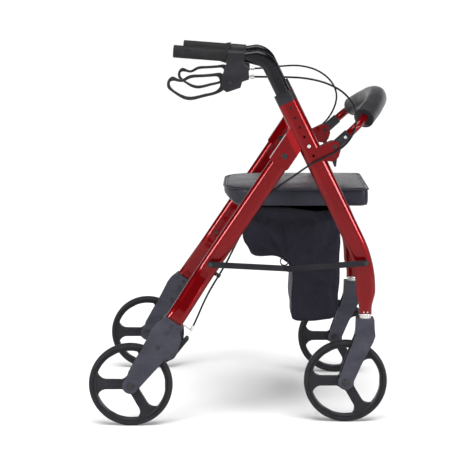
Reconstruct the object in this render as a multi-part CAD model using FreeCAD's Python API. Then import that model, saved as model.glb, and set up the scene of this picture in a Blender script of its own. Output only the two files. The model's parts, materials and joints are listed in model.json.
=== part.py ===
"""Folding four-wheeled rollator walker: seat, pouch, loop brakes and a curved padded backrest.

Millimetres. +X is forward, +Y is the user's left, +Z is up, and the floor is Z = 0. The origin is on
the floor, midway between the rear tyres' back edge and the backrest pad's front edge. Every side
piece is built on the right (negative Y) and mirrored for the left.
"""
import FreeCAD, Part
import math
import os

V = FreeCAD.Vector
Y_AXIS = V(0, 1, 0)
Z_AXIS = V(0, 0, 1)
ORIGIN = V(0, 0, 0)

# ---------------------------------------------------------------- driving dimensions
# wheels
WHEEL_R = 101.5           # 8 inch wheels
TYRE_W = 24.0
RIM_R = 90.0              # where the tyre sits on the rim
WINDOW_R = 84.0           # outer edge of the openings between the spokes
HUB_R = 17.0
HUB_W = 30.0
SPOKE_W = 15.0
BEARING_R = 11.0
BEARING_W = 7.0
AXLE_R = 4.0
RUN = 0.05                # radial clearance of every shaft in a moving bore
REAR_AXLE_X = -265.0
REAR_Y = -295.0           # plane of the right rear wheel
FRONT_AXLE_X = 256.5

# side frame
FRAME_Y = -252.0          # plane of the right front tube, handle and upper rear leg
FRONT_DEPTH, FRONT_WIDTH, WALL = 48.0, 30.0, 1.5
FRONT_LEAN = 26.1         # degrees from vertical
FRONT_BEND_R = 280.0
FOOT_X = 303.0            # lower, vertical part of the front tube, and the caster's swivel axis
BEND_Z = 390.0            # height where the two axes of the front tube cross
FRONT_LENGTH = 433.8      # from that crossing up to the end of the tube
TAPER_Z = 283.0
FOOT_Z = 270.0
HOLE_PITCH, HOLE_FIRST, HOLE_R = 25.0, 15.0, 3.2
HOLE_COUNT, BOLT_HOLE = 6, 4

PIVOT = V(105.0, FRAME_Y, 652.7)      # where the rear leg hinges on its bracket
LEG_DEPTH, LEG_WIDTH = 45.0, 27.0
JOGGLE_R, JOGGLE_DEG, JOGGLE_RUN = 100.0, 24.0, 63.2
LEG_TO_FORK = 470.6       # pivot to the end of the joggle, measured down the leg
LEG_IN_FORK = 74.0

# folding brace
BRACE_REAR = V(-71.0, 0, 394.0)
BRACE_FRONT = V(300.3, 0, 399.3)
BRACE_KNEE = V(114.3, 0, 384.8)
BRACE_H, BRACE_T = 14.0, 4.0
REAR_LINK_Y, FRONT_LINK_Y = -287.8, -292.3      # mid-planes of the two links, side by side

# handle
HANDLE_DEPTH, HANDLE_WIDTH, HANDLE_WALL = 36.0, 24.0, 1.5
HANDLE_LOW = 203.8        # lower end and upper corner, up the front tube's axis from the crossing
HANDLE_CORNER = 550.0
HANDLE_BEND_R, HANDLE_BEND_DEG = 44.0, 59.6
GRIP_R, GRIP_START, GRIP_END = 15.0, 93.5, 221.0
CLAMP_START = 51.5
LEVER_PIVOT = V(-25.0, 0, 827.0)
LEVER_HALF_W = 8.0

# seat, pouch, backrest
CROSS_Z, CROSS_R = 505.0, 12.5
SEAT_HALF_Y, SEAT_REAR_X, SEAT_FRONT_X = 178.0, -43.6, 313.4
SEAT_LOW, SEAT_TOP = 520.5, 565.0
BOARD_TOP = 529.0
BACK_HINGE = V(224.5, FRAME_Y, 675.0)
BACK_TILT = 42.0          # slope of the backrest's plane above level
BACK_TUBE_R, BACK_TUBE_WALL, PAD_R = 10.0, 1.6, 25.0
PAD_ARC_R, PAD_HALF_Y, PAD_END_P = 401.0, 212.0, 96.7
CABLE_R = 2.4


# ---------------------------------------------------------------- helpers
def xz(x, z, y=0.0):
    return V(x, y, z)


def polar(angle):
    """Unit vector in the XZ plane at an angle in degrees above +X."""
    a = math.radians(angle)
    return V(math.cos(a), 0, math.sin(a))


def outline(points, radius=0.0):
    """Closed face through corner points, each rounded; a corner may be (point, its own radius)."""
    corners = [c if isinstance(c, tuple) else (c, radius) for c in points]
    stops = []
    for i, (p, r) in enumerate(corners):
        a = (corners[i - 1][0] - p).normalize()
        b = (corners[(i + 1) % len(corners)][0] - p).normalize()
        half = a.getAngle(b) / 2
        if r < 1e-6 or half > math.radians(89.5):
            stops.append((p, None, p))
            continue
        bisector = (a + b).normalize()
        reach = r / math.tan(half)
        middle = p + bisector * (r / math.sin(half) - r)
        stops.append((p + a * reach, middle, p + b * reach))
    edges = []
    for i, (start, middle, end) in enumerate(stops):
        before = stops[i - 1][2]
        if before.distanceToPoint(start) > 1e-4:
            edges.append(Part.LineSegment(before, start).toShape())
        if middle is not None:
            edges.append(Part.Arc(start, middle, end).toShape())
    return Part.Face(Part.Wire(edges))


def plate(points, y_low, y_high, radius=0.0):
    """Plate parallel to the XZ plane between two Y values."""
    face = outline(points, radius)
    face.translate(V(0, y_low, 0))
    return face.extrude(V(0, y_high - y_low, 0))


def rod(centre, radius, length, axis=Y_AXIS):
    """Cylinder centred on a point."""
    start = centre - axis * (length / 2)
    return Part.makeCylinder(radius, length, start, axis)


def rod_y(x, z, radius, y_low, y_high):
    return Part.makeCylinder(radius, y_high - y_low, V(x, y_low, z), Y_AXIS)


def ring_y(x, z, r_in, r_out, y_low, y_high):
    return rod_y(x, z, r_out, y_low, y_high).cut(rod_y(x, z, r_in, y_low - 1, y_high + 1))


def fused(solids):
    first, *rest = solids
    shape = first.fuse(rest) if rest else first
    return shape.removeSplitter()


def mirrored(shape):
    return shape.mirror(ORIGIN, Y_AXIS)


def oval(centre, deep, wide, depth, width):
    """Flat-sided oval wire: depth along one direction, width along the other."""
    r = width / 2
    a = deep * max((depth - width) / 2, 0.05)
    w = wide * r
    points = [centre + a + w, centre - a + w, centre - a - w, centre + a - w]
    return Part.Wire([
        Part.LineSegment(points[0], points[1]).toShape(),
        Part.Arc(points[1], centre - a - deep * r, points[2]).toShape(),
        Part.LineSegment(points[2], points[3]).toShape(),
        Part.Arc(points[3], centre + a + deep * r, points[0]).toShape()])


class Bender:
    """Builds an oval tube run by run, carrying its place and directions along."""

    def __init__(self, start, direction, deep, wide, depth, width):
        self.p, self.d, self.deep, self.wide = start, direction, deep, wide
        self.depth, self.width = depth, width
        self.solids = []

    def face(self):
        return Part.Face(oval(self.p, self.deep, self.wide, self.depth, self.width))

    def run(self, length):
        self.solids.append(self.face().extrude(self.d * length))
        self.p = self.p + self.d * length
        return self

    def bend(self, radius, degrees, towards):
        centre = self.p + towards * radius
        axis = self.d.cross(towards)
        self.solids.append(self.face().revolve(centre, axis, degrees))
        turn = FreeCAD.Rotation(axis, degrees)
        self.p = centre + turn.multVec(self.p - centre)
        self.d, self.deep, self.wide = (turn.multVec(v) for v in (self.d, self.deep, self.wide))
        return self

    def solid(self):
        return fused(self.solids)


def tube_along(points, radius):
    """Round cord through a list of points: straight runs joined by the largest tangent arcs."""
    edges, here = [], points[0]
    for i in range(1, len(points) - 1):
        p = points[i]
        a, b = points[i - 1] - p, points[i + 1] - p
        shorter = min(a.Length, b.Length)
        a.normalize()
        b.normalize()
        reach = 0.45 * shorter
        half = a.getAngle(b) / 2
        bend = reach * math.tan(half)
        middle = p + (a + b).normalize() * (bend / math.sin(half) - bend)
        edges.append(Part.LineSegment(here, p + a * reach).toShape())
        edges.append(Part.Arc(p + a * reach, middle, p + b * reach).toShape())
        here = p + b * reach
        print("cord bend radius %.0f mm" % bend)
    edges.append(Part.LineSegment(here, points[-1]).toShape())
    path = Part.Wire(edges)
    direction = (points[1] - points[0]).normalize()
    section = Part.Wire(Part.makeCircle(radius, points[0], direction))
    cord = path.makePipeShell([section], True, True)
    print("cord volume over section times length: %.4f"
          % (cord.Volume / (math.pi * radius ** 2 * path.Length)))
    return cord


NODES = {}


def node(name, *shapes):
    solids = [s for shape in shapes for s in shape.Solids]
    NODES[name] = solids[0] if len(solids) == 1 else Part.makeCompound(solids)


def both(name, shape):
    """A node for each side."""
    node(name + "_right", shape)
    node(name + "_left", mirrored(shape))


def pair(name, *shapes):
    """One node that holds the right-hand pieces and their mirror images."""
    node(name, *shapes, *[mirrored(s) for s in shapes])


# ---------------------------------------------------------------- front frame
UP = polar(90 + FRONT_LEAN)                  # up along the upper part of the front tube
AHEAD = polar(FRONT_LEAN)                    # square to it, forwards and up
CROSSING = V(FOOT_X, FRAME_Y, BEND_Z)
TUBE_TOP = CROSSING + UP * FRONT_LENGTH
BOLT_AT = TUBE_TOP - UP * (HOLE_FIRST + HOLE_PITCH * BOLT_HOLE)
SIDE_OUT = FRAME_Y - FRONT_WIDTH / 2         # outer and inner faces of the front tube
SIDE_IN = FRAME_Y + FRONT_WIDTH / 2


def front_tube_solid(shrink):
    """The front tube's outer form, or its bore with shrink = wall."""
    depth, width = FRONT_DEPTH - 2 * shrink, FRONT_WIDTH - 2 * shrink
    tangent = FRONT_BEND_R * math.tan(math.radians(FRONT_LEAN / 2))
    bender = Bender(TUBE_TOP, UP * -1, AHEAD, Y_AXIS, depth, width)
    bender.run(FRONT_LENGTH - tangent).bend(FRONT_BEND_R, FRONT_LEAN, AHEAD * -1)
    low = bender.p.z
    stations = [(low, depth), (low - 15, depth - 4.5), (TAPER_Z + 10, width + 4.5),
                (TAPER_Z, width + 1.5)]
    wires = [oval(V(FOOT_X, FRAME_Y, z), V(1, 0, 0), Y_AXIS, d, width) for z, d in stations]
    bender.solids.append(Part.makeLoft(wires, True, False))
    foot = Part.Face(wires[-1]).extrude(V(0, 0, FOOT_Z - TAPER_Z))
    bender.solids.append(foot)
    return bender.solid()


def front_tube():
    tube = front_tube_solid(0).cut(front_tube_solid(WALL))
    for k in range(HOLE_COUNT):
        at = TUBE_TOP - UP * (HOLE_FIRST + HOLE_PITCH * k)
        far = SIDE_IN + 1 if k == BOLT_HOLE else FRAME_Y
        tube = tube.cut(rod_y(at.x, at.z, HOLE_R, SIDE_OUT - 1, far))
    return tube.cut(rod_y(BRACE_FRONT.x, BRACE_FRONT.z, 3.02, SIDE_OUT - 1, SIDE_IN + 1))


def collar():
    """Plastic cap on the tube's end, with a sleeve inside that guides the handle tube."""
    def section(at, depth, width, length):
        return Part.Face(oval(at, AHEAD, Y_AXIS, depth, width)).extrude(UP * length)
    cap = section(TUBE_TOP, FRONT_DEPTH - 0.6, FRONT_WIDTH - 0.4, 26)
    sleeve = section(TUBE_TOP - UP * 30, FRONT_DEPTH - 2 * WALL - 0.2, FRONT_WIDTH - 2 * WALL - 0.2, 31)
    bore = section(TUBE_TOP - UP * 31, HANDLE_DEPTH + 0.6, HANDLE_WIDTH + 0.6, 60)
    cap = cap.makeFillet(1.5, [e for e in cap.Edges if min(v.Z for v in e.Vertexes) > TUBE_TOP.z + 12])
    return cap.fuse(sleeve).cut(bore)


LEG_DOWN = (V(REAR_AXLE_X, FRAME_Y, WHEEL_R) - PIVOT).normalize()
LEG_UP = LEG_DOWN * -1
LEG_FRONT = V(LEG_UP.z, 0, -LEG_UP.x)        # square to the leg, forwards and down
LEG_LENGTH = PIVOT.distanceToPoint(V(REAR_AXLE_X, FRAME_Y, WHEEL_R))
BRACKET_HALF_W, BRACKET_T = 14.2, 2.4


def leg_point(up, front, y=0.0):
    """A point by its distance up the leg from the rear axle and forwards of the leg's axis."""
    p = V(REAR_AXLE_X, 0, WHEEL_R) + LEG_UP * up + LEG_FRONT * front
    return V(p.x, y, p.z)


def pivot_bracket():
    """Channel welded behind the front tube: two cheeks that close in to the tube, and a rear web."""
    def beside_tube(back, y):
        p = BOLT_AT - AHEAD * back
        return V(p.x, FRAME_Y + y, p.z)
    inner, outer = BRACKET_HALF_W, BRACKET_HALF_W + BRACKET_T
    cheeks = []
    for side in (-1, 1):
        section = Part.makePolygon([
            beside_tube(19.5, side * 8), beside_tube(37, side * inner), beside_tube(120, side * inner),
            beside_tube(120, side * outer), beside_tube(36, side * outer),
            beside_tube(19.0, side * 10.6), beside_tube(19.5, side * 8)])
        cheeks.append(Part.Face(section).extrude(UP * 240).translated(UP * -120))
    half = LEG_DEPTH / 2
    web_in, web_out = -half - 1.2, -half - 1.2 - BRACKET_T
    low, high = LEG_LENGTH - 27, LEG_LENGTH + 120
    profile = [(leg_point(low, web_out), 3), (leg_point(high, web_out), 0),
               (leg_point(high, half + 2), 0), (leg_point(low, half + 2), 6)]
    cheeks = [c.common(plate(profile, FRAME_Y - 25, FRAME_Y + 25)) for c in cheeks]
    web = plate([leg_point(low + 3, web_in), leg_point(low + 3, web_out),
                 leg_point(high, web_out), leg_point(high, web_in)],
                FRAME_Y - inner, FRAME_Y + inner)
    behind = Part.makeBox(400, 80, 400, V(-200, -40, -200))
    behind = behind.transformed(FreeCAD.Placement(
        BOLT_AT - AHEAD * 237, FreeCAD.Rotation(Y_AXIS, -FRONT_LEAN)).Matrix)
    web = web.common(behind)
    bracket = fused(cheeks + [web]).cut(front_tube_solid(0))
    return bracket.cut(rod_y(PIVOT.x, PIVOT.z, AXLE_R + 0.02, FRAME_Y - 25, FRAME_Y + 25))


def backrest_bracket():
    """Two cheeks on the front of the tube that carry the backrest's hinge bolt and the trigger."""
    h = BACK_HINGE
    profile = [(xz(h.x - 50, h.z - 6), 0), (xz(h.x - 8, h.z + 14), 8), (xz(h.x + 9, h.z + 13), 8),
               (xz(h.x + 14, h.z - 8), 6), (xz(h.x + 9, h.z - 26), 9), (xz(h.x - 6, h.z - 35), 5),
               (xz(h.x - 31, h.z - 33), 0)]
    inner, outer = 12.6, 15.0
    cheeks = [plate(profile, FRAME_Y - outer, FRAME_Y - inner), plate(profile, FRAME_Y + inner, FRAME_Y + outer)]
    foot = plate([xz(h.x - 44, h.z - 4), xz(h.x - 23, h.z), xz(h.x - 8, h.z - 31), xz(h.x - 30, h.z - 33)],
                 FRAME_Y - inner, FRAME_Y + inner)
    bracket = fused(cheeks + [foot]).cut(front_tube_solid(0))
    for at, r in ((h, 3.0), (TRIGGER_PIN, 2.0)):
        bracket = bracket.cut(rod_y(at.x, at.z, r + 0.02, FRAME_Y - 25, FRAME_Y + 25))
    return bracket


TRIGGER_PIN = BACK_HINGE + V(0, 0, -23)


def bolt(x, z, radius, y_head, y_nut, head_r, head_h=3.0, nut_h=5.0):
    """Bolt along Y: domed head beyond y_head (outside), hexagon nut beyond y_nut (inside)."""
    shank = rod_y(x, z, radius, y_head - 0.5, y_nut + nut_h + 1)
    head = rod_y(x, z, head_r, y_head - head_h, y_head)
    rim = max(head.Edges, key=lambda e: -e.BoundBox.YMin * 1000 + e.Length)
    head = head.makeFillet(head_h * 0.6, [rim])
    corners = [xz(x, z) + polar(60 * k) * head_r for k in range(6)]
    nut = plate(corners, y_nut, y_nut + nut_h).cut(rod_y(x, z, radius - 0.2, y_nut - 1, y_nut + nut_h + 1))
    return fused([shank, head, nut])


def frame_bolts():
    """Leg pivot bolts, brace bolts with spacers, height bolts and backrest hinge bolts."""
    cheek = BRACKET_HALF_W + BRACKET_T
    pivot = bolt(PIVOT.x, PIVOT.z, AXLE_R, FRAME_Y - cheek, FRAME_Y + cheek, 7.0)
    link_out = FRONT_LINK_Y - BRACE_T / 2
    brace = bolt(BRACE_FRONT.x, BRACE_FRONT.z, 3.0, link_out - 0.3, SIDE_IN + 0.2, 5.5)
    spacer = ring_y(BRACE_FRONT.x, BRACE_FRONT.z, 3.02, 6.0, link_out + BRACE_T + 0.3, SIDE_OUT - 0.1)
    height = rod_y(BOLT_AT.x, BOLT_AT.z, 3.0, SIDE_OUT - 2.5, SIDE_IN + 16)
    cap = rod_y(BOLT_AT.x, BOLT_AT.z, 4.5, SIDE_OUT - 2.6, SIDE_OUT - 0.1)
    cap = cap.makeFillet(1.5, [max(cap.Edges, key=lambda e: -e.BoundBox.YMin * 1000 + e.Length)])
    back = bolt(BACK_HINGE.x, BACK_HINGE.z, 3.0, FRAME_Y - 15, FRAME_Y + 15, 5.0)
    pin = rod_y(TRIGGER_PIN.x, TRIGGER_PIN.z, 2.0, FRAME_Y - 16, FRAME_Y + 16)
    return [pivot, brace, spacer, fused([height, cap]), back, pin]


def caster_socket():
    """Steel ferrule in the tube's foot, with a rolled lip under the tube's end."""
    stem = V(FOOT_X, FRAME_Y, 0)
    body = Part.makeCylinder(12.8, 52, stem + V(0, 0, FOOT_Z - 1), Z_AXIS)
    lip = Part.makeCylinder(16.4, 5, stem + V(0, 0, FOOT_Z - 5.1), Z_AXIS)
    lip = lip.makeFillet(2.0, [e for e in lip.Edges if e.Length > 60])
    rivets = [Part.makeCylinder(1.6, 3.0, stem + V(x, -16.2, FOOT_Z + 4.5), Y_AXIS) for x in (-4.5, 4.5)]
    rivets = [r.cut(front_tube_solid(0)) for r in rivets]
    return fused([body, lip]).cut(Part.makeCylinder(12.0, 80, stem + V(0, 0, FOOT_Z - 12), Z_AXIS)), rivets


def stem_bushes():
    """Two flanged bushes that the caster's stem turns in."""
    stem = V(FOOT_X, FRAME_Y, 0)
    low = Part.makeCylinder(11.95, 15, stem + V(0, 0, FOOT_Z - 5.1), Z_AXIS)
    flange = Part.makeCylinder(13.5, 6.5, stem + V(0, 0, FOOT_Z - 11.6), Z_AXIS)
    high = Part.makeCylinder(11.95, 12, stem + V(0, 0, FOOT_Z + 38), Z_AXIS)
    bore = Part.makeCylinder(6.0 + RUN, 90, stem + V(0, 0, FOOT_Z - 20), Z_AXIS)
    return fused([low, flange]).cut(bore), high.cut(bore)


both("front_frame_tube", front_tube())
front_cross = rod(V(FOOT_X - (CROSS_Z - BEND_Z) * math.tan(math.radians(FRONT_LEAN)), 0, CROSS_Z),
                  CROSS_R, -2 * SIDE_IN - 0.4)
FRONT_CROSS_X = front_cross.CenterOfMass.x
node("front_cross_tube", front_cross.cut(rod(V(FRONT_CROSS_X, 0, CROSS_Z), CROSS_R - 1.6, 600)))
pair("pivot_brackets", pivot_bracket())
pair("height_collars", collar())
pair("backrest_brackets", backrest_bracket())
pair("frame_pivot_bolts", *frame_bolts())
socket, lip_rivets = caster_socket()
pair("caster_sockets", socket, *lip_rivets)
pair("stem_bushes", *stem_bushes())


# ---------------------------------------------------------------- rear frame
FORK_GAP, FORK_T = 17.0, 5.0                 # half gap for the wheel, and the plates' thickness
ARM_PIVOT = (121.0, 45.0)                    # up the leg from the axle, forwards of its axis
FORK_SCREWS = [(178, 2), (158, 1), (117, 3.4)]


def leg_solid(shrink):
    """The rear leg's outer form, or its bore, from above the pivot down into the fork."""
    depth, width = LEG_DEPTH - 2 * shrink, LEG_WIDTH - 2 * shrink
    bend = math.radians(JOGGLE_DEG)
    joggle = 2 * JOGGLE_R * math.sin(bend) + JOGGLE_RUN * math.cos(bend)
    top = LEG_DEPTH / 2
    bender = Bender(PIVOT - LEG_DOWN * top, LEG_DOWN, LEG_FRONT, Y_AXIS, depth, width)
    bender.run(LEG_TO_FORK - joggle + top)
    bender.bend(JOGGLE_R, JOGGLE_DEG, bender.wide * -1)
    bender.run(JOGGLE_RUN)
    bender.bend(JOGGLE_R, JOGGLE_DEG, bender.wide)
    bender.run(LEG_IN_FORK)
    return bender.solid()


def rear_leg():
    tube = leg_solid(0).cut(leg_solid(WALL))
    end_r = LEG_DEPTH / 2 - 0.2
    low = -400.0
    keep = plate([leg_point(LEG_LENGTH, -60), leg_point(LEG_LENGTH, 60),
                  leg_point(low, 60), leg_point(low, -60)], -400, -200)
    keep = keep.fuse(rod_y(PIVOT.x, PIVOT.z, end_r, -400, -200))
    tube = tube.common(keep)
    tube = tube.cut(rod_y(PIVOT.x, PIVOT.z, AXLE_R + RUN, FRAME_Y - 30, FRAME_Y + 30))
    for at in [BRACE_REAR] + [leg_point(*screw) for screw in FORK_SCREWS]:
        tube = tube.cut(rod_y(at.x, at.z, 3.02 if at is BRACE_REAR else 2.52, REAR_Y - 30, FRAME_Y + 30))
    return tube


def fork_half(inside):
    """One of the two moulded halves that clamp the leg's end and carry the wheel and the brake arm."""
    profile = [(leg_point(190, -24), 3), (leg_point(163, -32), 10), (leg_point(148, -33), 12),
               (leg_point(108, -28), 20), (leg_point(16, -20.5), 12), (leg_point(-5, -12), 8),
               (leg_point(-5, 12), 8), (leg_point(8, 21), 10), (leg_point(80, 31), 20),
               (leg_point(102, 33), 4), (leg_point(108, 46), 4), (leg_point(116, 50), 5),
               (leg_point(132, 49), 6), (leg_point(163, 40), 5), (leg_point(176, 26), 6),
               (leg_point(190, 28), 3)]
    sign = 1 if inside else -1
    near, far = REAR_Y + sign * FORK_GAP, REAR_Y + sign * (FORK_GAP + FORK_T)
    low, high = min(near, far), max(near, far)
    cheek = plate(profile, low, high)
    cheek = cheek.fuse(rod_y(REAR_AXLE_X, WHEEL_R, 19.5, low, high)).removeSplitter()
    outer_edges = [e for e in cheek.Edges if abs(e.BoundBox.YMin - far) < 0.01 and abs(e.BoundBox.YMax - far) < 0.01]
    cheek = cheek.makeFillet(1.4, outer_edges)
    mid = REAR_Y + sign * 0.15
    socket_block = plate([leg_point(120, -26), leg_point(190, -24), leg_point(190, 25.5), leg_point(120, 25.5)],
                         min(mid, near), max(mid, near), 2.0)
    half = cheek.fuse(socket_block)
    bore = Bender(leg_point(LEG_LENGTH - LEG_TO_FORK + 5, 0, REAR_Y), LEG_DOWN, LEG_FRONT, Y_AXIS,
                  LEG_DEPTH + 0.2, LEG_WIDTH + 0.2).run(LEG_IN_FORK + 5.5).solid()
    half = half.cut(bore)
    for up, front in FORK_SCREWS:
        at = leg_point(up, front)
        half = half.cut(rod_y(at.x, at.z, 2.52, REAR_Y - 40, REAR_Y + 40))
    pin = leg_point(*ARM_PIVOT)
    half = half.cut(rod_y(pin.x, pin.z, 3.02, REAR_Y - 40, REAR_Y + 40))
    return half.cut(rod_y(REAR_AXLE_X, WHEEL_R, AXLE_R + 0.02, REAR_Y - 40, REAR_Y + 40))


def rear_fasteners():
    """Fork screws, brake arm pins and the brace's rear bolts with their spacers."""
    out = FORK_GAP + FORK_T
    pieces = []
    for up, front in FORK_SCREWS:
        at = leg_point(up, front)
        pieces.append(bolt(at.x, at.z, 2.5, REAR_Y - out, REAR_Y + out, 4.2, 2.2, 3.0))
    pin = leg_point(*ARM_PIVOT)
    pieces.append(bolt(pin.x, pin.z, 3.0, REAR_Y - out, REAR_Y + out, 4.6, 2.2, 3.0))
    link_in = REAR_LINK_Y + BRACE_T / 2 + 0.3
    leg_out = FRAME_Y - LEG_WIDTH / 2
    pieces.append(bolt(BRACE_REAR.x, BRACE_REAR.z, 3.0, REAR_LINK_Y - BRACE_T / 2 - 0.3,
                       FRAME_Y + LEG_WIDTH / 2 + 0.2, 5.5, 2.4))
    pieces.append(ring_y(BRACE_REAR.x, BRACE_REAR.z, 3.02, 6.0, link_in, leg_out - 0.1))
    return pieces


def wheel_hardware(x, y, grip):
    """Axle bolt with nut, spacer sleeves and two bearings; grip is the fork's outer half width."""
    gap = grip - FORK_T
    axle = bolt(x, WHEEL_R, AXLE_R, y - grip, y + grip, 8.0, 3.5, 6.0)
    pieces = [axle]
    for side in (-1, 1):
        outer, inner = side * (HUB_W / 2 - 0.2), side * (HUB_W / 2 - 0.2 - BEARING_W)
        pieces.append(ring_y(x, WHEEL_R, AXLE_R + 0.02, BEARING_R, y + min(outer, inner), y + max(outer, inner)))
        edge = side * (gap - 0.1)
        pieces.append(ring_y(x, WHEEL_R, AXLE_R + 0.02, 6.5, y + min(outer, edge) + 0.05, y + max(outer, edge) - 0.05))
    sleeve = HUB_W / 2 - 0.3 - BEARING_W
    pieces.append(ring_y(x, WHEEL_R, AXLE_R + 0.02, 6.5, y - sleeve, y + sleeve))
    return pieces


REAR_CROSS_X = PIVOT.x + LEG_DOWN.x / LEG_DOWN.z * (CROSS_Z - PIVOT.z)
both("rear_leg", rear_leg())
rear_cross = rod(V(REAR_CROSS_X, 0, CROSS_Z), CROSS_R, -2 * (FRAME_Y + LEG_WIDTH / 2) - 0.4)
node("rear_cross_tube", rear_cross.cut(rod(V(REAR_CROSS_X, 0, CROSS_Z), CROSS_R - 1.6, 600)))
pair("rear_fork_outer_halves", fork_half(False))
pair("rear_fork_inner_halves", fork_half(True))
pair("rear_frame_fasteners", *rear_fasteners())
pair("rear_axles", *wheel_hardware(REAR_AXLE_X, REAR_Y, FORK_GAP + FORK_T))

saddle = ring_y(REAR_CROSS_X, CROSS_Z, CROSS_R + 0.1, CROSS_R + 2.9, -150, -120)
pair("seat_rest_saddles", saddle)


# ---------------------------------------------------------------- wheels
def spoke_window(x, middle):
    """Opening between two spokes, centred on an angle: the spokes flare out towards the rim."""
    def at(radius, angle):
        return V(x, 0, WHEEL_R) + polar(middle + angle) * radius
    corner = 60 - math.degrees(math.asin(SPOKE_W / 2 / WINDOW_R)) - 3
    root = 60 - math.degrees(math.asin((SPOKE_W / 2 + 1) / 24.0)) - 8
    inner = [(at(24.0, -root), 7), (at(24.0, root), 7)]
    outer = [(at(WINDOW_R * 1.02, corner), 21), (at(WINDOW_R * 1.10, corner / 2), 40),
             (at(WINDOW_R * 1.10, -corner / 2), 40), (at(WINDOW_R * 1.02, -corner), 21)]
    face = outline([inner[0], inner[1]] + outer)
    disc = Part.Face(Part.Wire(Part.makeCircle(WINDOW_R, V(x, 0, WHEEL_R), Y_AXIS)))
    return face.common(disc)


def turned(x, profile):
    """Solid of revolution about a wheel's axle from (radius, half width) points."""
    points = [V(x, w, WHEEL_R + r) for r, w in profile]
    mirror_side = [V(x, -w, WHEEL_R + r) for r, w in reversed(profile)]
    loop = Part.makePolygon(points + mirror_side + [points[0]])
    return Part.Face(loop).revolve(V(x, 0, WHEEL_R), Y_AXIS, 360)


def wheel(x, y, phase):
    """Moulded three-spoke wheel and its tyre."""
    web = rod(V(x, 0, WHEEL_R), WINDOW_R + 3, 13)
    for k in range(3):
        window = spoke_window(x, phase + 60 + 120 * k)
        window.translate(V(0, -20, 0))
        web = web.cut(window.extrude(V(0, 40, 0)))
    rim = turned(x, [(WINDOW_R, 8.0), (WINDOW_R + 2, 9.5), (RIM_R - 1, 9.5), (RIM_R - 0.05, 8.5)])
    hub = rod(V(x, 0, WHEEL_R), HUB_R, HUB_W).cut(rod(V(x, 0, WHEEL_R), BEARING_R - 2.5, HUB_W + 2))
    hub = hub.makeFillet(1.2, [e for e in hub.Edges if abs(e.Length - 2 * math.pi * HUB_R) < 0.5])
    body = fused([web, rim, hub])
    for side in (-1, 1):
        seat = rod(V(x, side * HUB_W / 2, WHEEL_R), BEARING_R + RUN, 2 * BEARING_W + 1.0)
        body = body.cut(seat)
    body = body.cut(rod(V(x, 0, WHEEL_R), BEARING_R - 2.5, HUB_W + 2))
    half = TYRE_W / 2
    tyre = turned(x, [(RIM_R, 9.0), (RIM_R + 1.5, 10.8), (WHEEL_R - 5.5, half), (WHEEL_R - 2.0, half - 2.0),
                      (WHEEL_R - 0.4, half - 5.5), (WHEEL_R, half - 8.5)])
    for shape in (body, tyre):
        shape.translate(V(0, y, 0))
    return body, tyre


for place, x, y in (("rear", REAR_AXLE_X, REAR_Y), ("front", FRONT_AXLE_X, FRAME_Y)):
    body, tyre = wheel(x, y, 180)
    both(place + "_wheel_rim", body)
    both(place + "_tyre", tyre)


# ---------------------------------------------------------------- casters
CASTER_TOP = FOOT_Z - 11.9
CASTER_GAP = 16.0


def caster_fork():
    """Moulded fork: a block under the stem and two legs that trail back to the axle."""
    x = FOOT_X
    legs = [(xz(x - 22.5, CASTER_TOP), 3), (xz(x + 21.5, CASTER_TOP), 3), (xz(x + 22, 238), 10),
            (xz(x + 24.5, 216), 10), (xz(x + 19, 200), 14), (xz(x - 8, 147), 30),
            (xz(FRONT_AXLE_X + 17.5, 98), 12), (xz(FRONT_AXLE_X - 10, 84), 8), (xz(FRONT_AXLE_X - 19, 100), 10),
            (xz(x - 37.5, 182), 30), (xz(x - 25, 214), 14), (xz(x - 22, 240), 14)]
    cheek_high = CASTER_GAP + FORK_T
    cheeks = []
    for side in (-1, 1):
        low, high = sorted((side * CASTER_GAP, side * cheek_high))
        cheek = plate(legs, FRAME_Y + low, FRAME_Y + high)
        cheek = cheek.fuse(rod_y(FRONT_AXLE_X, WHEEL_R, 19.0, FRAME_Y + low, FRAME_Y + high)).removeSplitter()
        far = FRAME_Y + side * cheek_high
        rim = [e for e in cheek.Edges if abs(e.BoundBox.YMin - far) < 0.01 and abs(e.BoundBox.YMax - far) < 0.01]
        cheeks.append(cheek.makeFillet(1.6, rim))
    block = plate([(xz(x - 22.5, CASTER_TOP), 3), (xz(x + 21.5, CASTER_TOP), 3), (xz(x + 23.5, 214), 8),
                   (xz(x - 24, 214), 8)], FRAME_Y - CASTER_GAP, FRAME_Y + CASTER_GAP)
    fork = fused(cheeks + [block])
    fork = fork.cut(Part.makeCylinder(6.02, 40, V(x, FRAME_Y, 222), Z_AXIS))
    return fork.cut(rod_y(FRONT_AXLE_X, WHEEL_R, AXLE_R + 0.02, FRAME_Y - 40, FRAME_Y + 40))


def caster_hardware():
    """Swivel stem with its retaining nut, and the front axle set."""
    base = V(FOOT_X, FRAME_Y, 223)
    stem = Part.makeCylinder(6.0, FOOT_Z + 57 - 223, base, Z_AXIS)
    nut_z = FOOT_Z + 50.4
    nut = Part.makeCylinder(9.5, 6, V(FOOT_X, FRAME_Y, nut_z), Z_AXIS)
    return [fused([stem, nut])] + wheel_hardware(FRONT_AXLE_X, FRAME_Y, CASTER_GAP + FORK_T)


both("caster_fork", caster_fork())
hardware = Part.makeCompound(caster_hardware())
both("caster_hardware", hardware)


# ---------------------------------------------------------------- folding brace
def link(a, b, y, extra=()):
    """Flat bar with round ends and a hole at its own fixed pivot."""
    along = (b - a).normalize()
    across = V(-along.z, 0, along.x) * (BRACE_H / 2)
    low, high = y - BRACE_T / 2, y + BRACE_T / 2
    bar = plate([a + across, b + across, b - across, a - across], low, high)
    ends = [rod_y(p.x, p.z, BRACE_H / 2, low, high) for p in (a, b)]
    bar = fused([bar] + ends + list(extra))
    return bar.cut(rod_y(a.x, a.z, 3.0 + RUN, low - 1, high + 1))


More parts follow.
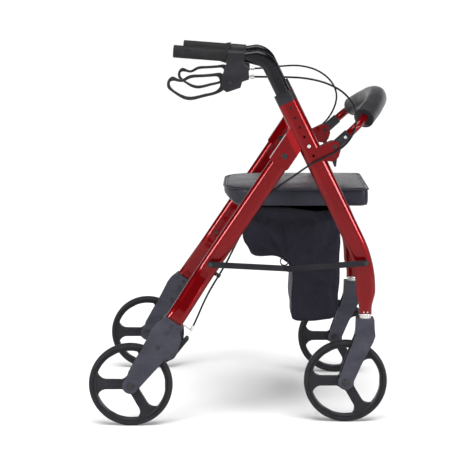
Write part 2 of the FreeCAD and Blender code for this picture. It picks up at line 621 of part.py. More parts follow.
ring_at = BRACE_KNEE + V(-9, 0, 17.5)
pull_ring = ring_y(ring_at.x, ring_at.z, 8.2, 11.0, REAR_LINK_Y - 1.5, REAR_LINK_Y + 1.5)
rear_link = link(BRACE_REAR, BRACE_KNEE, REAR_LINK_Y, [pull_ring])
rivet = rod_y(BRACE_KNEE.x, BRACE_KNEE.z, 5.0, FRONT_LINK_Y - BRACE_T / 2 - 2.2, FRONT_LINK_Y)
front_link = link(BRACE_FRONT, BRACE_KNEE, FRONT_LINK_Y, [rivet])
pair("brace_rear_links", rear_link)
pair("brace_front_links", front_link)


# ---------------------------------------------------------------- handles and brakes
BACKWARD = polar(90 + FRONT_LEAN + HANDLE_BEND_DEG)      # along the grip, towards the user
GRIP_UP = polar(FRONT_LEAN + HANDLE_BEND_DEG)
HANDLE_AT = CROSSING + UP * HANDLE_CORNER


def grip_point(along, up=0.0, side=0.0):
    return HANDLE_AT + BACKWARD * along + GRIP_UP * up + V(0, side, 0)


def handle_form(shrink):
    depth, width = HANDLE_DEPTH - 2 * shrink, HANDLE_WIDTH - 2 * shrink
    reach = HANDLE_BEND_R * math.tan(math.radians(HANDLE_BEND_DEG / 2))
    bender = Bender(CROSSING + UP * HANDLE_LOW, UP, AHEAD, Y_AXIS, depth, width)
    bender.run(HANDLE_CORNER - HANDLE_LOW - reach)
    bender.bend(HANDLE_BEND_R, HANDLE_BEND_DEG, AHEAD * -1)
    wires = [oval(grip_point(s), GRIP_UP, Y_AXIS, d, width)
             for s, d in ((reach, depth), (CLAMP_START, width + 0.1))]
    bender.solids.append(Part.makeLoft(wires, True, True))
    bender.solids.append(Part.Face(wires[-1]).extrude(BACKWARD * (GRIP_END - 3.2 - CLAMP_START)))
    return bender.solid()


def handle_tube():
    tube = handle_form(0).cut(handle_form(HANDLE_WALL))
    slot = Part.Face(oval(BOLT_AT - UP * 37.5, UP, AHEAD, 131.6, 6.6)).extrude(V(0, 60, 0))
    slot.translate(V(0, -30, 0))
    return tube.cut(slot)


def grip():
    """Soft grip with a closed end, a ridged flange at the housing and finger ridges below."""
    direction = BACKWARD
    body = Part.makeCylinder(GRIP_R, GRIP_END - GRIP_START, grip_point(GRIP_START), direction)
    body = body.makeFillet(2.5, [e for e in body.Edges if e.CenterOfMass.distanceToPoint(grip_point(GRIP_END)) < 1])
    flange = Part.makeCone(18.5, GRIP_R, 16, grip_point(GRIP_START), direction)
    pieces = [body, flange]
    for k in range(3):
        pieces.append(Part.makeCylinder(19.0 - k, 1.6, grip_point(GRIP_START + 0.6 + 4.4 * k), direction))
    shape = fused(pieces)
    bore = oval(grip_point(GRIP_START - 5), GRIP_UP, Y_AXIS, HANDLE_WIDTH + 0.2, HANDLE_WIDTH + 0.1)
    return shape.cut(Part.Face(bore).extrude(direction * (GRIP_END - 3.1 - GRIP_START + 5)))


def brake_housing():
    """Clamp band round the handle tube, with a body below that holds the lever and the cable."""
    x0 = HANDLE_AT.x
    body = plate([(xz(x0 - 52.5, 897), 2), (xz(x0 - 52, 869), 2), (xz(x0 - 42, 862), 3), (xz(x0 - 40.5, 834.5), 4),
                  (xz(x0 - 57, 829), 3), (xz(x0 - 61, 815), 4), (xz(x0 - 94, 804), 5), (xz(x0 - 104, 812), 6),
                  (xz(x0 - 105, 842), 8), (xz(x0 - 94, 874), 6), (xz(x0 - 92, 897), 2)],
                 FRAME_Y - 17.5, FRAME_Y + 19.5)
    edges = [e for e in body.Edges if e.BoundBox.YLength < 0.01]
    body = body.makeFillet(2.0, edges)
    band = Part.makeCylinder(HANDLE_WIDTH / 2 + 3.4, 41, grip_point(CLAMP_START + 0.4), BACKWARD)
    band = band.makeFillet(1.0, [e for e in band.Edges if e.Length > 90])
    shape = fused([body, band])
    bore = oval(grip_point(CLAMP_START - 20), GRIP_UP, Y_AXIS, HANDLE_WIDTH + 0.2, HANDLE_WIDTH + 0.1)
    shape = shape.cut(Part.Face(bore).extrude(BACKWARD * 80))
    p = LEVER_PIVOT
    half = LEVER_HALF_W + 0.5
    cavity = plate([(xz(p.x + 6, p.z + 17), 6), (xz(p.x + 14, p.z - 2), 6), (xz(p.x - 8, p.z - 19), 3),
                    (xz(p.x - 60, p.z - 46), 0), (xz(p.x - 60, p.z + 36), 0), (xz(p.x - 6, p.z + 31), 6)],
                   FRAME_Y - half, FRAME_Y + half)
    shape = shape.cut(cavity)
    shape = shape.cut(rod_y(p.x, p.z, 3.02, FRAME_Y - 30, FRAME_Y + 30))
    return shape.cut(rod(V(x0 - 40, CABLE_Y, CABLE_Z), 3.1, 26, V(1, 0, 0)))


CABLE_Y, CABLE_Z = FRAME_Y + 14.0, 839.7      # where the cable leaves the housing


def brake_fittings():
    """Lever pin, clamp screw, and the barrel adjuster that the cable's end sits in."""
    x0 = HANDLE_AT.x
    pin = bolt(LEVER_PIVOT.x, LEVER_PIVOT.z, 3.0, FRAME_Y - 17.5, FRAME_Y + 19.5, 4.5, 1.5, 2.5)
    barrel = rod(V(x0 - 40, CABLE_Y, CABLE_Z), 3.0, 24, V(1, 0, 0))
    knurl = rod(V(x0 - 33, CABLE_Y, CABLE_Z), 5.0, 9, V(1, 0, 0))
    knurl = knurl.makeChamfer(0.8, [e for e in knurl.Edges if e.Length > 25])
    adjuster = fused([barrel, knurl]).cut(rod(V(x0 - 30, CABLE_Y, CABLE_Z), CABLE_R + 0.2, 12, V(1, 0, 0)))
    return [pin, adjuster]


def smooth_loop(points):
    curve = Part.BSplineCurve()
    curve.interpolate(points, PeriodicFlag=True)
    return Part.Face(Part.Wire(curve.toShape()))


def brake_lever():
    """Closed finger loop: a waved bar above, a bowed bar below, and a neck that ends in a hub on the pin."""
    p = LEVER_PIVOT
    outer = [(-18, -20), (-33, -27.3), (-60, -34.1), (-81, -39.8), (-93, -41.7), (-105, -40.5), (-116, -36.2),
             (-126.5, -29.6), (-139, -21), (-148, -12), (-149.5, -3), (-145.5, 8.2), (-137, 13.6), (-129, 11),
             (-122, 7.9), (-115, 7.2), (-108.5, 10.3), (-100, 15.3), (-91, 17.9), (-75, 18.6), (-53, 19.8),
             (-37, 21.5), (-20, 21.5)]
    window = [(-25, -11), (-33, -19.5), (-60, -27.3), (-80, -32.2), (-92, -34), (-105, -32.9), (-123.4, -25.1),
              (-138, -14.5), (-143, -6), (-142, 1), (-135, 3.9), (-124, 2.2), (-114.4, 1.2), (-105.4, 4),
              (-97, 8.4), (-88, 11), (-75, 12), (-60, 12.8), (-42, 14), (-28, 12.5), (-24, 2)]

    def loop(points, y_low, y_high):
        face = smooth_loop([p + V(x, FRAME_Y + y_low, z) for x, z in points])
        return face.extrude(V(0, y_high - y_low, 0))
    half = LEVER_HALF_W
    shape = loop(outer, -half, half).cut(loop(window, -half - 2, half + 2))
    hub = rod_y(p.x, p.z, 9.0, FRAME_Y - half, FRAME_Y + half)
    neck = plate([xz(p.x, p.z + 9), xz(p.x, p.z - 9), xz(p.x - 20, p.z - 21), xz(p.x - 20, p.z + 20.5)],
                 FRAME_Y - half, FRAME_Y + half)
    return fused([shape, hub, neck]).cut(rod_y(p.x, p.z, 3.0 + RUN, FRAME_Y - 20, FRAME_Y + 20))


ARM_BOSS = (170.0, 50.0)


def brake_arm():
    """Bell crank on the fork: the wire pulls its upper end and the shoe below meets the tyre."""
    half = 8.0
    low, high = REAR_Y - half, REAR_Y + half
    profile = [(leg_point(*c), r) for c, r in (
        ((176, 46), 4), ((174, 55), 4), ((160, 54), 4), ((126, 51), 5), ((108, 49), 4), ((98.5, 42), 2),
        ((103.5, 26), 2), ((113, 28), 3), ((118, 37), 4), ((150, 41), 8))]
    arm = plate(profile, low, high)
    tyre_space = rod(V(REAR_AXLE_X, REAR_Y, WHEEL_R), WHEEL_R + 2.2, TYRE_W + 2)
    arm = arm.cut(tyre_space)
    boss = leg_point(*ARM_BOSS)
    pin = leg_point(*ARM_PIVOT)
    arm = fused([arm, rod_y(boss.x, boss.z, 5.0, low - 2, high + 2), rod_y(pin.x, pin.z, 6.5, low, high)])
    return arm.cut(rod_y(pin.x, pin.z, 3.0 + RUN, REAR_Y - 20, REAR_Y + 20))


def height_knob():
    """Lobed knob on the inner end of the height bolt."""
    lobes = [rod_y(BOLT_AT.x, BOLT_AT.z, 11.0, SIDE_IN + 4, SIDE_IN + 18)]
    for k in range(5):
        at = BOLT_AT + polar(72 * k) * 10.5
        lobes.append(rod_y(at.x, at.z, 6.0, SIDE_IN + 4, SIDE_IN + 18))
    lobes.append(rod_y(BOLT_AT.x, BOLT_AT.z, 8.5, SIDE_IN + 0.4, SIDE_IN + 5))
    return fused(lobes).cut(rod_y(BOLT_AT.x, BOLT_AT.z, 3.0 + RUN, SIDE_IN, SIDE_IN + 16.3))


both("handle_tube", handle_tube())
both("grip", grip())
both("brake_housing", brake_housing())
both("brake_fittings", Part.makeCompound(brake_fittings()))
both("brake_lever", brake_lever())
both("brake_arm", brake_arm())
both("height_knob", height_knob())


# ---------------------------------------------------------------- brake cables
def leg_side(up, front, inward):
    """A place beside the upper leg or, below the joggle, beside the fork."""
    return leg_point(up, front, FRAME_Y + inward)


STOP = leg_point(205, 46, REAR_Y + 4)                   # end of the outer cable
EXIT = V(HANDLE_AT.x - 31, CABLE_Y, CABLE_Z)
LOWER_CABLE = [leg_side(486, 18.5, 19), leg_side(440, 21, 19), leg_side(398, 27, 17), leg_side(364, 31, 11),
               leg_side(333, 32, 3), leg_side(292, 33, -10), leg_side(257, 37, -26), leg_side(230, 42, -36), STOP]
RIGHT_LOOP = [EXIT, V(62, CABLE_Y + 2, 839.5), V(106, CABLE_Y + 6, 839), V(152, CABLE_Y + 8, 837),
              V(200, CABLE_Y + 6, 827), V(242, CABLE_Y - 2, 807), V(268, CABLE_Y - 12, 778),
              V(277, CABLE_Y - 22, 742), V(269, CABLE_Y - 31, 706), V(246, CABLE_Y - 36, 676),
              V(210, CABLE_Y - 37, 655), V(170, CABLE_Y - 36, 637), V(130, CABLE_Y - 26, 607),
              V(88, CABLE_Y - 6, 576), leg_side(532, 15, 19)]
LEFT_LOOP = [EXIT, V(62, CABLE_Y + 2, 840.5), V(108, CABLE_Y + 6, 847), V(156, CABLE_Y + 8, 849),
             V(204, CABLE_Y + 6, 836), V(240, CABLE_Y, 808), V(257, CABLE_Y - 10, 772),
             V(252, CABLE_Y - 22, 736), V(234, CABLE_Y - 33, 702), V(208, CABLE_Y - 37, 676),
             V(172, CABLE_Y - 36, 648), V(132, CABLE_Y - 26, 612), V(88, CABLE_Y - 6, 577),
             leg_side(532, 15, 19)]
node("brake_cable_right", tube_along(RIGHT_LOOP + LOWER_CABLE, CABLE_R))
node("brake_cable_left", mirrored(tube_along(LEFT_LOOP + LOWER_CABLE, CABLE_R)))


def cable_clip(up, front, inward):
    """Small saddle that ties the cable to the front of the leg."""
    at = leg_side(up, front, inward)
    along = (leg_side(up + 31, front - 1, inward + 8) - leg_side(up - 41, front + 1, inward - 13)).normalize()
    loop = rod(at, CABLE_R + 2.0, 9, along)
    foot = rod(leg_side(up, front - 7.2, inward), 2.6, 9, LEG_UP)
    return fused([loop, foot]).cut(rod(at, CABLE_R + 0.3, 20, along))


def cable_stop():
    """Tab on the fork that holds the cable's ferrule, with the inner wire down to the arm."""
    boss = leg_point(*ARM_BOSS, REAR_Y + 4)
    along = (STOP - boss).normalize()
    ferrule = Part.makeCylinder(3.4, 14.5, STOP - along * 15, along)
    tab = plate([leg_point(191, 27.2), leg_point(191, 50), leg_point(192.5, 50), leg_point(192.5, 27.2)],
                REAR_Y - 4, REAR_Y + 12)
    wire = Part.makeCylinder(0.8, (STOP - boss).Length - 14.6 - 8.0, boss + along * 8.0, along)
    return fused([ferrule, tab, wire])


pair("cable_clips", cable_clip(333, 32, 3))
pair("cable_stops", cable_stop())


# ---------------------------------------------------------------- seat and pouch
def seat_plan(inset, z):
    """Seat outline: broad round corners at the rear, small ones at the front."""
    x0, x1, y = SEAT_REAR_X + inset, SEAT_FRONT_X - inset, SEAT_HALF_Y - inset
    corners = [(V(x0, -y, z), 95.0), (V(x1, -y, z), 18.0), (V(x1, y, z), 18.0), (V(x0, y, z), 95.0)]
    return outline(corners)


def seat_cushion():
    body = seat_plan(0, SEAT_LOW).extrude(V(0, 0, SEAT_TOP - SEAT_LOW))
    bevel = Part.Face(Part.makePolygon([
        V(SEAT_REAR_X - 1, -200, SEAT_LOW - 1), V(SEAT_REAR_X + 30, -200, SEAT_LOW - 1),
        V(SEAT_REAR_X - 1, -200, SEAT_LOW + 26), V(SEAT_REAR_X - 1, -200, SEAT_LOW - 1)])).extrude(V(0, 400, 0))
    body = body.cut(bevel)
    top = [e for e in body.Edges if e.BoundBox.ZMin > SEAT_TOP - 0.01]
    body = body.makeFillet(7.0, top)
    return body.cut(seat_plan(31.0, SEAT_LOW - 1).extrude(V(0, 0, BOARD_TOP - SEAT_LOW + 1.1)))


def seat_clamp(y):
    """Clamp round the front cross tube, screwed up into the seat board."""
    x, z = FRONT_CROSS_X, CROSS_Z
    ring = rod_y(x, z, CROSS_R + 2.8, y - 14, y + 14)
    foot = plate([(xz(x - 20, SEAT_LOW - 3.4), 1), (xz(x - 20, SEAT_LOW - 0.1), 0), (xz(x + 20, SEAT_LOW - 0.1), 0),
                  (xz(x + 20, SEAT_LOW - 3.4), 1)], y - 14, y + 14)
    clamp = fused([ring, foot]).cut(rod_y(x, z, CROSS_R + RUN, y - 20, y + 20))
    over = Part.makeBox(80, 40, 20, V(x - 40, y - 20, SEAT_LOW - 0.1))
    return clamp.cut(over)


def pouch():
    """Hung between the cross tubes, open at the top: a shallow rear part and a deep front pocket."""
    def form(shrink, top):
        x0, x1, s = REAR_CROSS_X, FRONT_CROSS_X, shrink
        profile = [(xz(x0 + 17 + s, top), 0), (xz(x0 + 17 + s, 488 + s), 0), (xz(x0 + 4 + s, 484), 6),
                   (xz(x0 + 14 + s, 408 + s), 12), (xz(x0 + 30 + s, 391 + s), 14), (xz(x0 + 104 + s, 387 + s), 14),
                   (xz(x0 + 126 + s, 368 + s), 10), (xz(x0 + 124 + s, 226 + s), 8), (xz(x1 - 10 - s, 226 + s), 8),
                   (xz(x1 + 1 - s, 400), 30), (xz(x1 - 1 - s, 486), 6), (xz(x1 - 17 - s, 489 + s), 0),
                   (xz(x1 - 17 - s, top), 0)]
        return plate(profile, s - 150, 150 - s)
    return form(0, 511).cut(form(2.0, 530))


node("seat_board", seat_plan(31.5, SEAT_LOW).extrude(V(0, 0, BOARD_TOP - SEAT_LOW)))
node("seat_cushion", seat_cushion())
pair("seat_hinge_clamps", seat_clamp(-100))
node("storage_pouch", pouch())


# ---------------------------------------------------------------- backrest
BACK_ALONG = polar(BACK_TILT)
BACK_NORMAL = polar(BACK_TILT + 90)
PAD_SWEEP = math.degrees(math.asin(PAD_HALF_Y / PAD_ARC_R))
PAD_MID_P = PAD_END_P + PAD_ARC_R * (1 - math.cos(math.radians(PAD_SWEEP)))
ARC_CENTRE = V(BACK_HINGE.x, 0, BACK_HINGE.z) + BACK_ALONG * (PAD_MID_P - PAD_ARC_R)
SLEEVE_END = 45.0


def pad_arc(radius_in, radius_out, sweep, centre_angle=0.0):
    """Round section swept along the backrest's bow, symmetric about the middle plane."""
    turn = FreeCAD.Rotation(BACK_NORMAL, centre_angle - sweep / 2)
    direction = turn.multVec(BACK_ALONG)
    at = ARC_CENTRE + direction * PAD_ARC_R
    tangent = BACK_NORMAL.cross(direction)
    section = Part.Face(Part.Wire(Part.makeCircle(radius_out, at, tangent)))
    if radius_in > 0:
        section = section.cut(Part.Face(Part.Wire(Part.makeCircle(radius_in, at, tangent))))
    return section.revolve(ARC_CENTRE, BACK_NORMAL, sweep)


def backrest_tube():
    """One bent tube: an arm in each sleeve, a bend inwards and the long bow inside the pad."""
    sweep = math.radians(PAD_SWEEP)
    end = ARC_CENTRE + BACK_ALONG * (PAD_ARC_R * math.cos(sweep)) + V(0, -PAD_HALF_Y, 0)
    tangent = BACK_ALONG * math.sin(sweep) + V(0, math.cos(sweep), 0)
    step = (end.y - FRAME_Y) / tangent.y
    corner = end - tangent * step
    bend_r = 48.0
    reach = bend_r * math.tan(math.radians((90 - PAD_SWEEP) / 2))
    arm_end, turn_end = corner - BACK_ALONG * reach, corner + tangent * reach
    inward = (BACK_ALONG * -1 + tangent).normalize()
    middle = corner + inward * (bend_r / math.sin(math.radians((90 + PAD_SWEEP) / 2)) - bend_r)
    arm_start = arm_end - BACK_ALONG * (arm_end.distanceToPoint(BACK_HINGE) - 10)
    flip = lambda p: V(p.x, -p.y, p.z)
    apex = ARC_CENTRE + BACK_ALONG * PAD_ARC_R
    path = Part.Wire([
        Part.LineSegment(arm_start, arm_end).toShape(), Part.Arc(arm_end, middle, turn_end).toShape(),
        Part.LineSegment(turn_end, end).toShape(), Part.Arc(end, apex, flip(end)).toShape(),
        Part.LineSegment(flip(end), flip(turn_end)).toShape(),
        Part.Arc(flip(turn_end), flip(middle), flip(arm_end)).toShape(),
        Part.LineSegment(flip(arm_end), flip(arm_start)).toShape()])
    outer, bore = (path.makePipeShell([Part.Wire(Part.makeCircle(r, arm_start, BACK_ALONG))], True, True)
                   for r in (BACK_TUBE_R, BACK_TUBE_R - BACK_TUBE_WALL))
    return outer.cut(bore)


def backrest_sleeve():
    """Black socket that holds the arm of the backrest and turns on the hinge bolt."""
    start, length = -9.0, SLEEVE_END + 9.0
    at = BACK_HINGE + BACK_ALONG * start
    body = Part.Face(oval(at, BACK_NORMAL, Y_AXIS, 25.0, 24.0)).extrude(BACK_ALONG * length)
    body = body.makeFillet(1.2, [e for e in body.Edges if e.CenterOfMass.dot(BACK_ALONG) > (BACK_HINGE + BACK_ALONG * (SLEEVE_END - 0.5)).dot(BACK_ALONG)])
    body = body.cut(Part.makeCylinder(BACK_TUBE_R + 0.05, 80, BACK_HINGE + BACK_ALONG * 9.9, BACK_ALONG))
    knob_at = BACK_HINGE + BACK_ALONG * 34
    body = body.cut(rod_y(knob_at.x, knob_at.z, 4.0, FRAME_Y - 20, FRAME_Y))
    return body.cut(rod_y(BACK_HINGE.x, BACK_HINGE.z, 3.0 + RUN, FRAME_Y - 20, FRAME_Y + 20))


def snap_button():
    at = BACK_HINGE + BACK_ALONG * 34
    button = rod_y(at.x, at.z, 3.8, FRAME_Y - 14, FRAME_Y - BACK_TUBE_R - 0.05)
    return button.makeFillet(1.4, [max(button.Edges, key=lambda e: -e.BoundBox.YMin * 1000 + e.Length)])


def backrest_trigger():
    """Sprung release trigger between the bracket's cheeks; its tip points down."""
    x, z = TRIGGER_PIN.x, TRIGGER_PIN.z
    body = plate([(xz(x + 6, z + 6), 4), (xz(x + 6, z - 4), 4), (xz(x + 3.4, z - 25), 1.5), (xz(x - 0.6, z - 25), 1.2),
                  (xz(x - 7, z - 9), 4), (xz(x - 5, z + 6), 4)], FRAME_Y - 11.5, FRAME_Y + 11.5)
    return body.cut(rod_y(x, z, 2.0 + RUN, FRAME_Y - 20, FRAME_Y + 20))


bar = backrest_tube()
node("backrest_tube", bar)
node("backrest_pad", pad_arc(BACK_TUBE_R + 0.3, PAD_R, 2 * PAD_SWEEP))
pair("backrest_sleeves", backrest_sleeve())
pair("snap_buttons", snap_button())
both("backrest_trigger", backrest_trigger())

# ---------------------------------------------------------------- export
os.makedirs("parts", exist_ok=True)
for name, shape in NODES.items():
    broken = [s for s in shape.Solids if not s.isValid() or s.Volume <= 0]
    print("%-26s solids %2d  volume %9.0f%s" % (name, len(shape.Solids), shape.Volume,
                                              "  NOT VALID" if broken else ""))
    shape.exportStep("parts/%s.step" % name)
whole = Part.makeCompound(list(NODES.values())).BoundBox
print("nodes %d  box X %.1f..%.1f  Y %.1f..%.1f  Z %.1f..%.1f" % (
    len(NODES), whole.XMin, whole.XMax, whole.YMin, whole.YMax, whole.ZMin, whole.ZMax))
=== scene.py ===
"""Looks for the rollator walker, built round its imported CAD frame.

Metres. +X is forward, +Y the user's left, +Z up, and the floor is at Z = 0.
"""
import json
import math

import bmesh
import bpy
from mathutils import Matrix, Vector, noise
from mathutils.bvhtree import BVHTree


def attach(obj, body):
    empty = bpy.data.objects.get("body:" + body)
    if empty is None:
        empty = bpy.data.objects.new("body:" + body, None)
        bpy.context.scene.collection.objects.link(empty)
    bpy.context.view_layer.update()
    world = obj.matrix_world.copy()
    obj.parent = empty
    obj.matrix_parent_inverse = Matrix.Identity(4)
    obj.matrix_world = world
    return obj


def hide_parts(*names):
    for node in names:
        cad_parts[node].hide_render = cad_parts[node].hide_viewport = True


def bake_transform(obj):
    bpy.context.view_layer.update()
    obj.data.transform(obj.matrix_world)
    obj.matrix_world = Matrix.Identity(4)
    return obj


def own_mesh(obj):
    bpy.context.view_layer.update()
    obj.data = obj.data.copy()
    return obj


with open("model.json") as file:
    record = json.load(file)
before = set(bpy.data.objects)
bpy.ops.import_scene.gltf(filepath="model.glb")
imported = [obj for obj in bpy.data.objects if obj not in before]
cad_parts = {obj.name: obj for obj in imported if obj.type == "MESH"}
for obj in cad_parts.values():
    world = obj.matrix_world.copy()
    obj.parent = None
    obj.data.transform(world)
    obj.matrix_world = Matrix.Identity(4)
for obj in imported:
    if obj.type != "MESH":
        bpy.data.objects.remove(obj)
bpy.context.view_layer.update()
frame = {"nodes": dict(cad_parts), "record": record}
NODES = frame["nodes"]
SIDES = ("right", "left")
SIGNED_SIDES = ((-1, "right"), (1, "left"))
CORNER_STEPS = 14


# ---------------------------------------------------------------- mesh helpers
def new_mesh(name, points, faces):
    mesh = bpy.data.meshes.new(name)
    mesh.from_pydata([tuple(p) for p in points], [], faces)
    mesh.validate()
    mesh.update()
    mesh.shade_smooth()
    thing = bpy.data.objects.new(name, mesh)
    bpy.context.scene.collection.objects.link(thing)
    return thing


def ring_mesh(name, rings, closed=False, caps=True):
    """Skin over a list of equal rings of points."""
    n = len(rings[0])
    points = [p for ring in rings for p in ring]
    faces = []
    last = len(rings) if closed else len(rings) - 1
    for i in range(last):
        a, b = i * n, (i + 1) % len(rings) * n
        for k in range(n):
            m = (k + 1) % n
            faces.append((a + k, a + m, b + m, b + k))
    if caps and not closed:
        faces.append(tuple(range(n - 1, -1, -1)))
        faces.append(tuple(range((len(rings) - 1) * n, len(rings) * n)))
    return new_mesh(name, points, faces)


def transported(line, first_side):
    """Frames along a line that don't twist: [(point, side, up)]."""
    frames, side = [], Vector(first_side)
    for i, p in enumerate(line):
        ahead = (line[min(i + 1, len(line) - 1)] - line[max(i - 1, 0)]).normalized()
        side = (side - ahead * side.dot(ahead)).normalized()
        frames.append((p, side.copy(), ahead.cross(side)))
    return frames


def nurbs_line(points, order=3, resolution=12):
    """The smooth line of a NURBS spline that starts and ends at its outer control points."""
    curve = bpy.data.curves.new("route", "CURVE")
    curve.dimensions = "3D"
    curve.resolution_u = resolution
    spline = curve.splines.new("NURBS")
    spline.points.add(len(points) - 1)
    for target, p in zip(spline.points, points):
        target.co = (*p, 1.0)
    spline.order_u = order
    spline.use_endpoint_u = True
    thing = bpy.data.objects.new("route", curve)
    mesh = bpy.data.meshes.new_from_object(thing)
    line = [v.co.copy() for v in mesh.vertices]
    bpy.data.objects.remove(thing)
    bpy.data.curves.remove(curve)
    bpy.data.meshes.remove(mesh)
    return line


def round_ring(place, side, up, radius, sides):
    turns = (math.tau * k / sides for k in range(sides))
    return [place + (side * math.cos(a) + up * math.sin(a)) * radius for a in turns]


def tube_mesh(name, line, radius, sides=14, first_side=(0, 1, 0)):
    frames = transported(line, first_side)
    return ring_mesh(name, [round_ring(p, side, up, radius, sides) for p, side, up in frames])


def hoop_mesh(name, line, radius, sides, first_side):
    """Tube round a line that closes on itself."""
    frames = transported(line + [line[0]], first_side)[:-1]
    return ring_mesh(name, [round_ring(p, side, up, radius, sides) for p, side, up in frames], closed=True)


def modify(thing, kind, **values):
    modifier = thing.modifiers.new(kind.lower(), kind)
    for key, value in values.items():
        setattr(modifier, key, value)
    return modifier


def apply_modifiers(thing):
    graph = bpy.context.evaluated_depsgraph_get()
    made = bpy.data.meshes.new_from_object(thing.evaluated_get(graph))
    thing.modifiers.clear()
    thing.data = made


def mm(x, y, z):
    return Vector((x, y, z)) * 0.001


def rounded_plan(x0, x1, half_y, rear_r, front_r, step=0.008):
    """Points round a seat outline that is symmetric about the middle plane."""
    line = []
    corners = ((x0, -half_y, rear_r, 180), (x1, -half_y, front_r, 270), (x1, half_y, front_r, 0),
               (x0, half_y, rear_r, 90))
    for x, y, r, start in corners:
        cx, cy = x + (r if x == x0 else -r), y + (r if y < 0 else -r)
        for k in range(CORNER_STEPS + 1):
            a = math.radians(start + 90 * k / CORNER_STEPS)
            line.append(Vector((cx + r * math.cos(a), cy + r * math.sin(a), 0)))
    return even_line(line + [line[0]], step)[:-1]


def even_line(line, step):
    """The same polyline with evenly spaced points."""
    lengths = [0.0]
    for a, b in zip(line, line[1:]):
        lengths.append(lengths[-1] + (b - a).length)
    count = max(2, round(lengths[-1] / step))
    out, k = [], 0
    for i in range(count + 1):
        at = lengths[-1] * i / count
        while k < len(line) - 2 and lengths[k + 1] < at:
            k += 1
        span = lengths[k + 1] - lengths[k]
        out.append(line[k].lerp(line[k + 1], (at - lengths[k]) / span if span > 1e-9 else 0.0))
    return out


def blown(thing, held, pressure, cap, voxel=0.005, frames=20):
    """Closed form turned to cloth and blown up with its seams held, no point moving more than cap."""
    modify(thing, "REMESH", mode="VOXEL", voxel_size=voxel)
    apply_modifiers(thing)
    rest = [v.co.copy() for v in thing.data.vertices]
    group = thing.vertex_groups.new(name="held")
    group.add([i for i, co in enumerate(rest) if held(co)], 1.0, "REPLACE")
    cloth = modify(thing, "CLOTH")
    settings = cloth.settings
    settings.quality = 6
    settings.mass = 0.25
    settings.tension_stiffness = settings.compression_stiffness = 12.0
    settings.shear_stiffness = 4.0
    settings.bending_stiffness = 0.4
    settings.use_pressure = True
    settings.uniform_pressure_force = pressure
    settings.vertex_group_mass = "held"
    settings.effector_weights.gravity = 0.0
    cloth.collision_settings.use_collision = False
    cloth.point_cache.frame_end = frames
    for step in range(1, frames + 1):
        bpy.context.scene.frame_set(step)
    apply_modifiers(thing)
    bpy.context.scene.frame_set(1)
    for v, was in zip(thing.data.vertices, rest):
        move = v.co - was
        if move.length > cap:
            v.co = was + move * (cap / move.length)
    thing.vertex_groups.clear()
    thing.data.shade_smooth()
    return thing


def subdivided(thing):
    modify(thing, "SUBSURF", levels=1, render_levels=1)
    apply_modifiers(thing)
    thing.data.shade_smooth()
    return thing


# how far along a stitch, how high over the surface and how wide each of its rings is
STITCH_SHAPE = ((0.0, -0.5, 0.5), (0.25, 0.7, 1.0), (0.75, 0.7, 1.0), (1.0, -0.5, 0.5))
STITCH_SIDES = 5


def stitches(name, line, out_of, pitch=0.006, length=0.0038, radius=0.00045):
    """A row of separate stitches along a line; out_of gives the surface's outward direction."""
    points, faces = [], []
    walk = even_line(line, pitch)
    for a, b in zip(walk, walk[1:]):
        ahead = (b - a).normalized()
        up = out_of(a)
        side = ahead.cross(up).normalized()
        base = len(points)
        for along, lift, wide in STITCH_SHAPE:
            centre = a + ahead * length * along + up * radius * lift
            points += round_ring(centre, side, up, radius * wide, STITCH_SIDES)
        for ring in range(len(STITCH_SHAPE) - 1):
            for k in range(STITCH_SIDES):
                i, j = base + ring * STITCH_SIDES + k, base + ring * STITCH_SIDES + (k + 1) % STITCH_SIDES
                faces.append((i, j, j + STITCH_SIDES, i + STITCH_SIDES))
        last = base + (len(STITCH_SHAPE) - 1) * STITCH_SIDES
        faces.append(tuple(base + k for k in range(STITCH_SIDES - 1, -1, -1)))
        faces.append(tuple(last + k for k in range(STITCH_SIDES)))
    return new_mesh(name, points, faces)


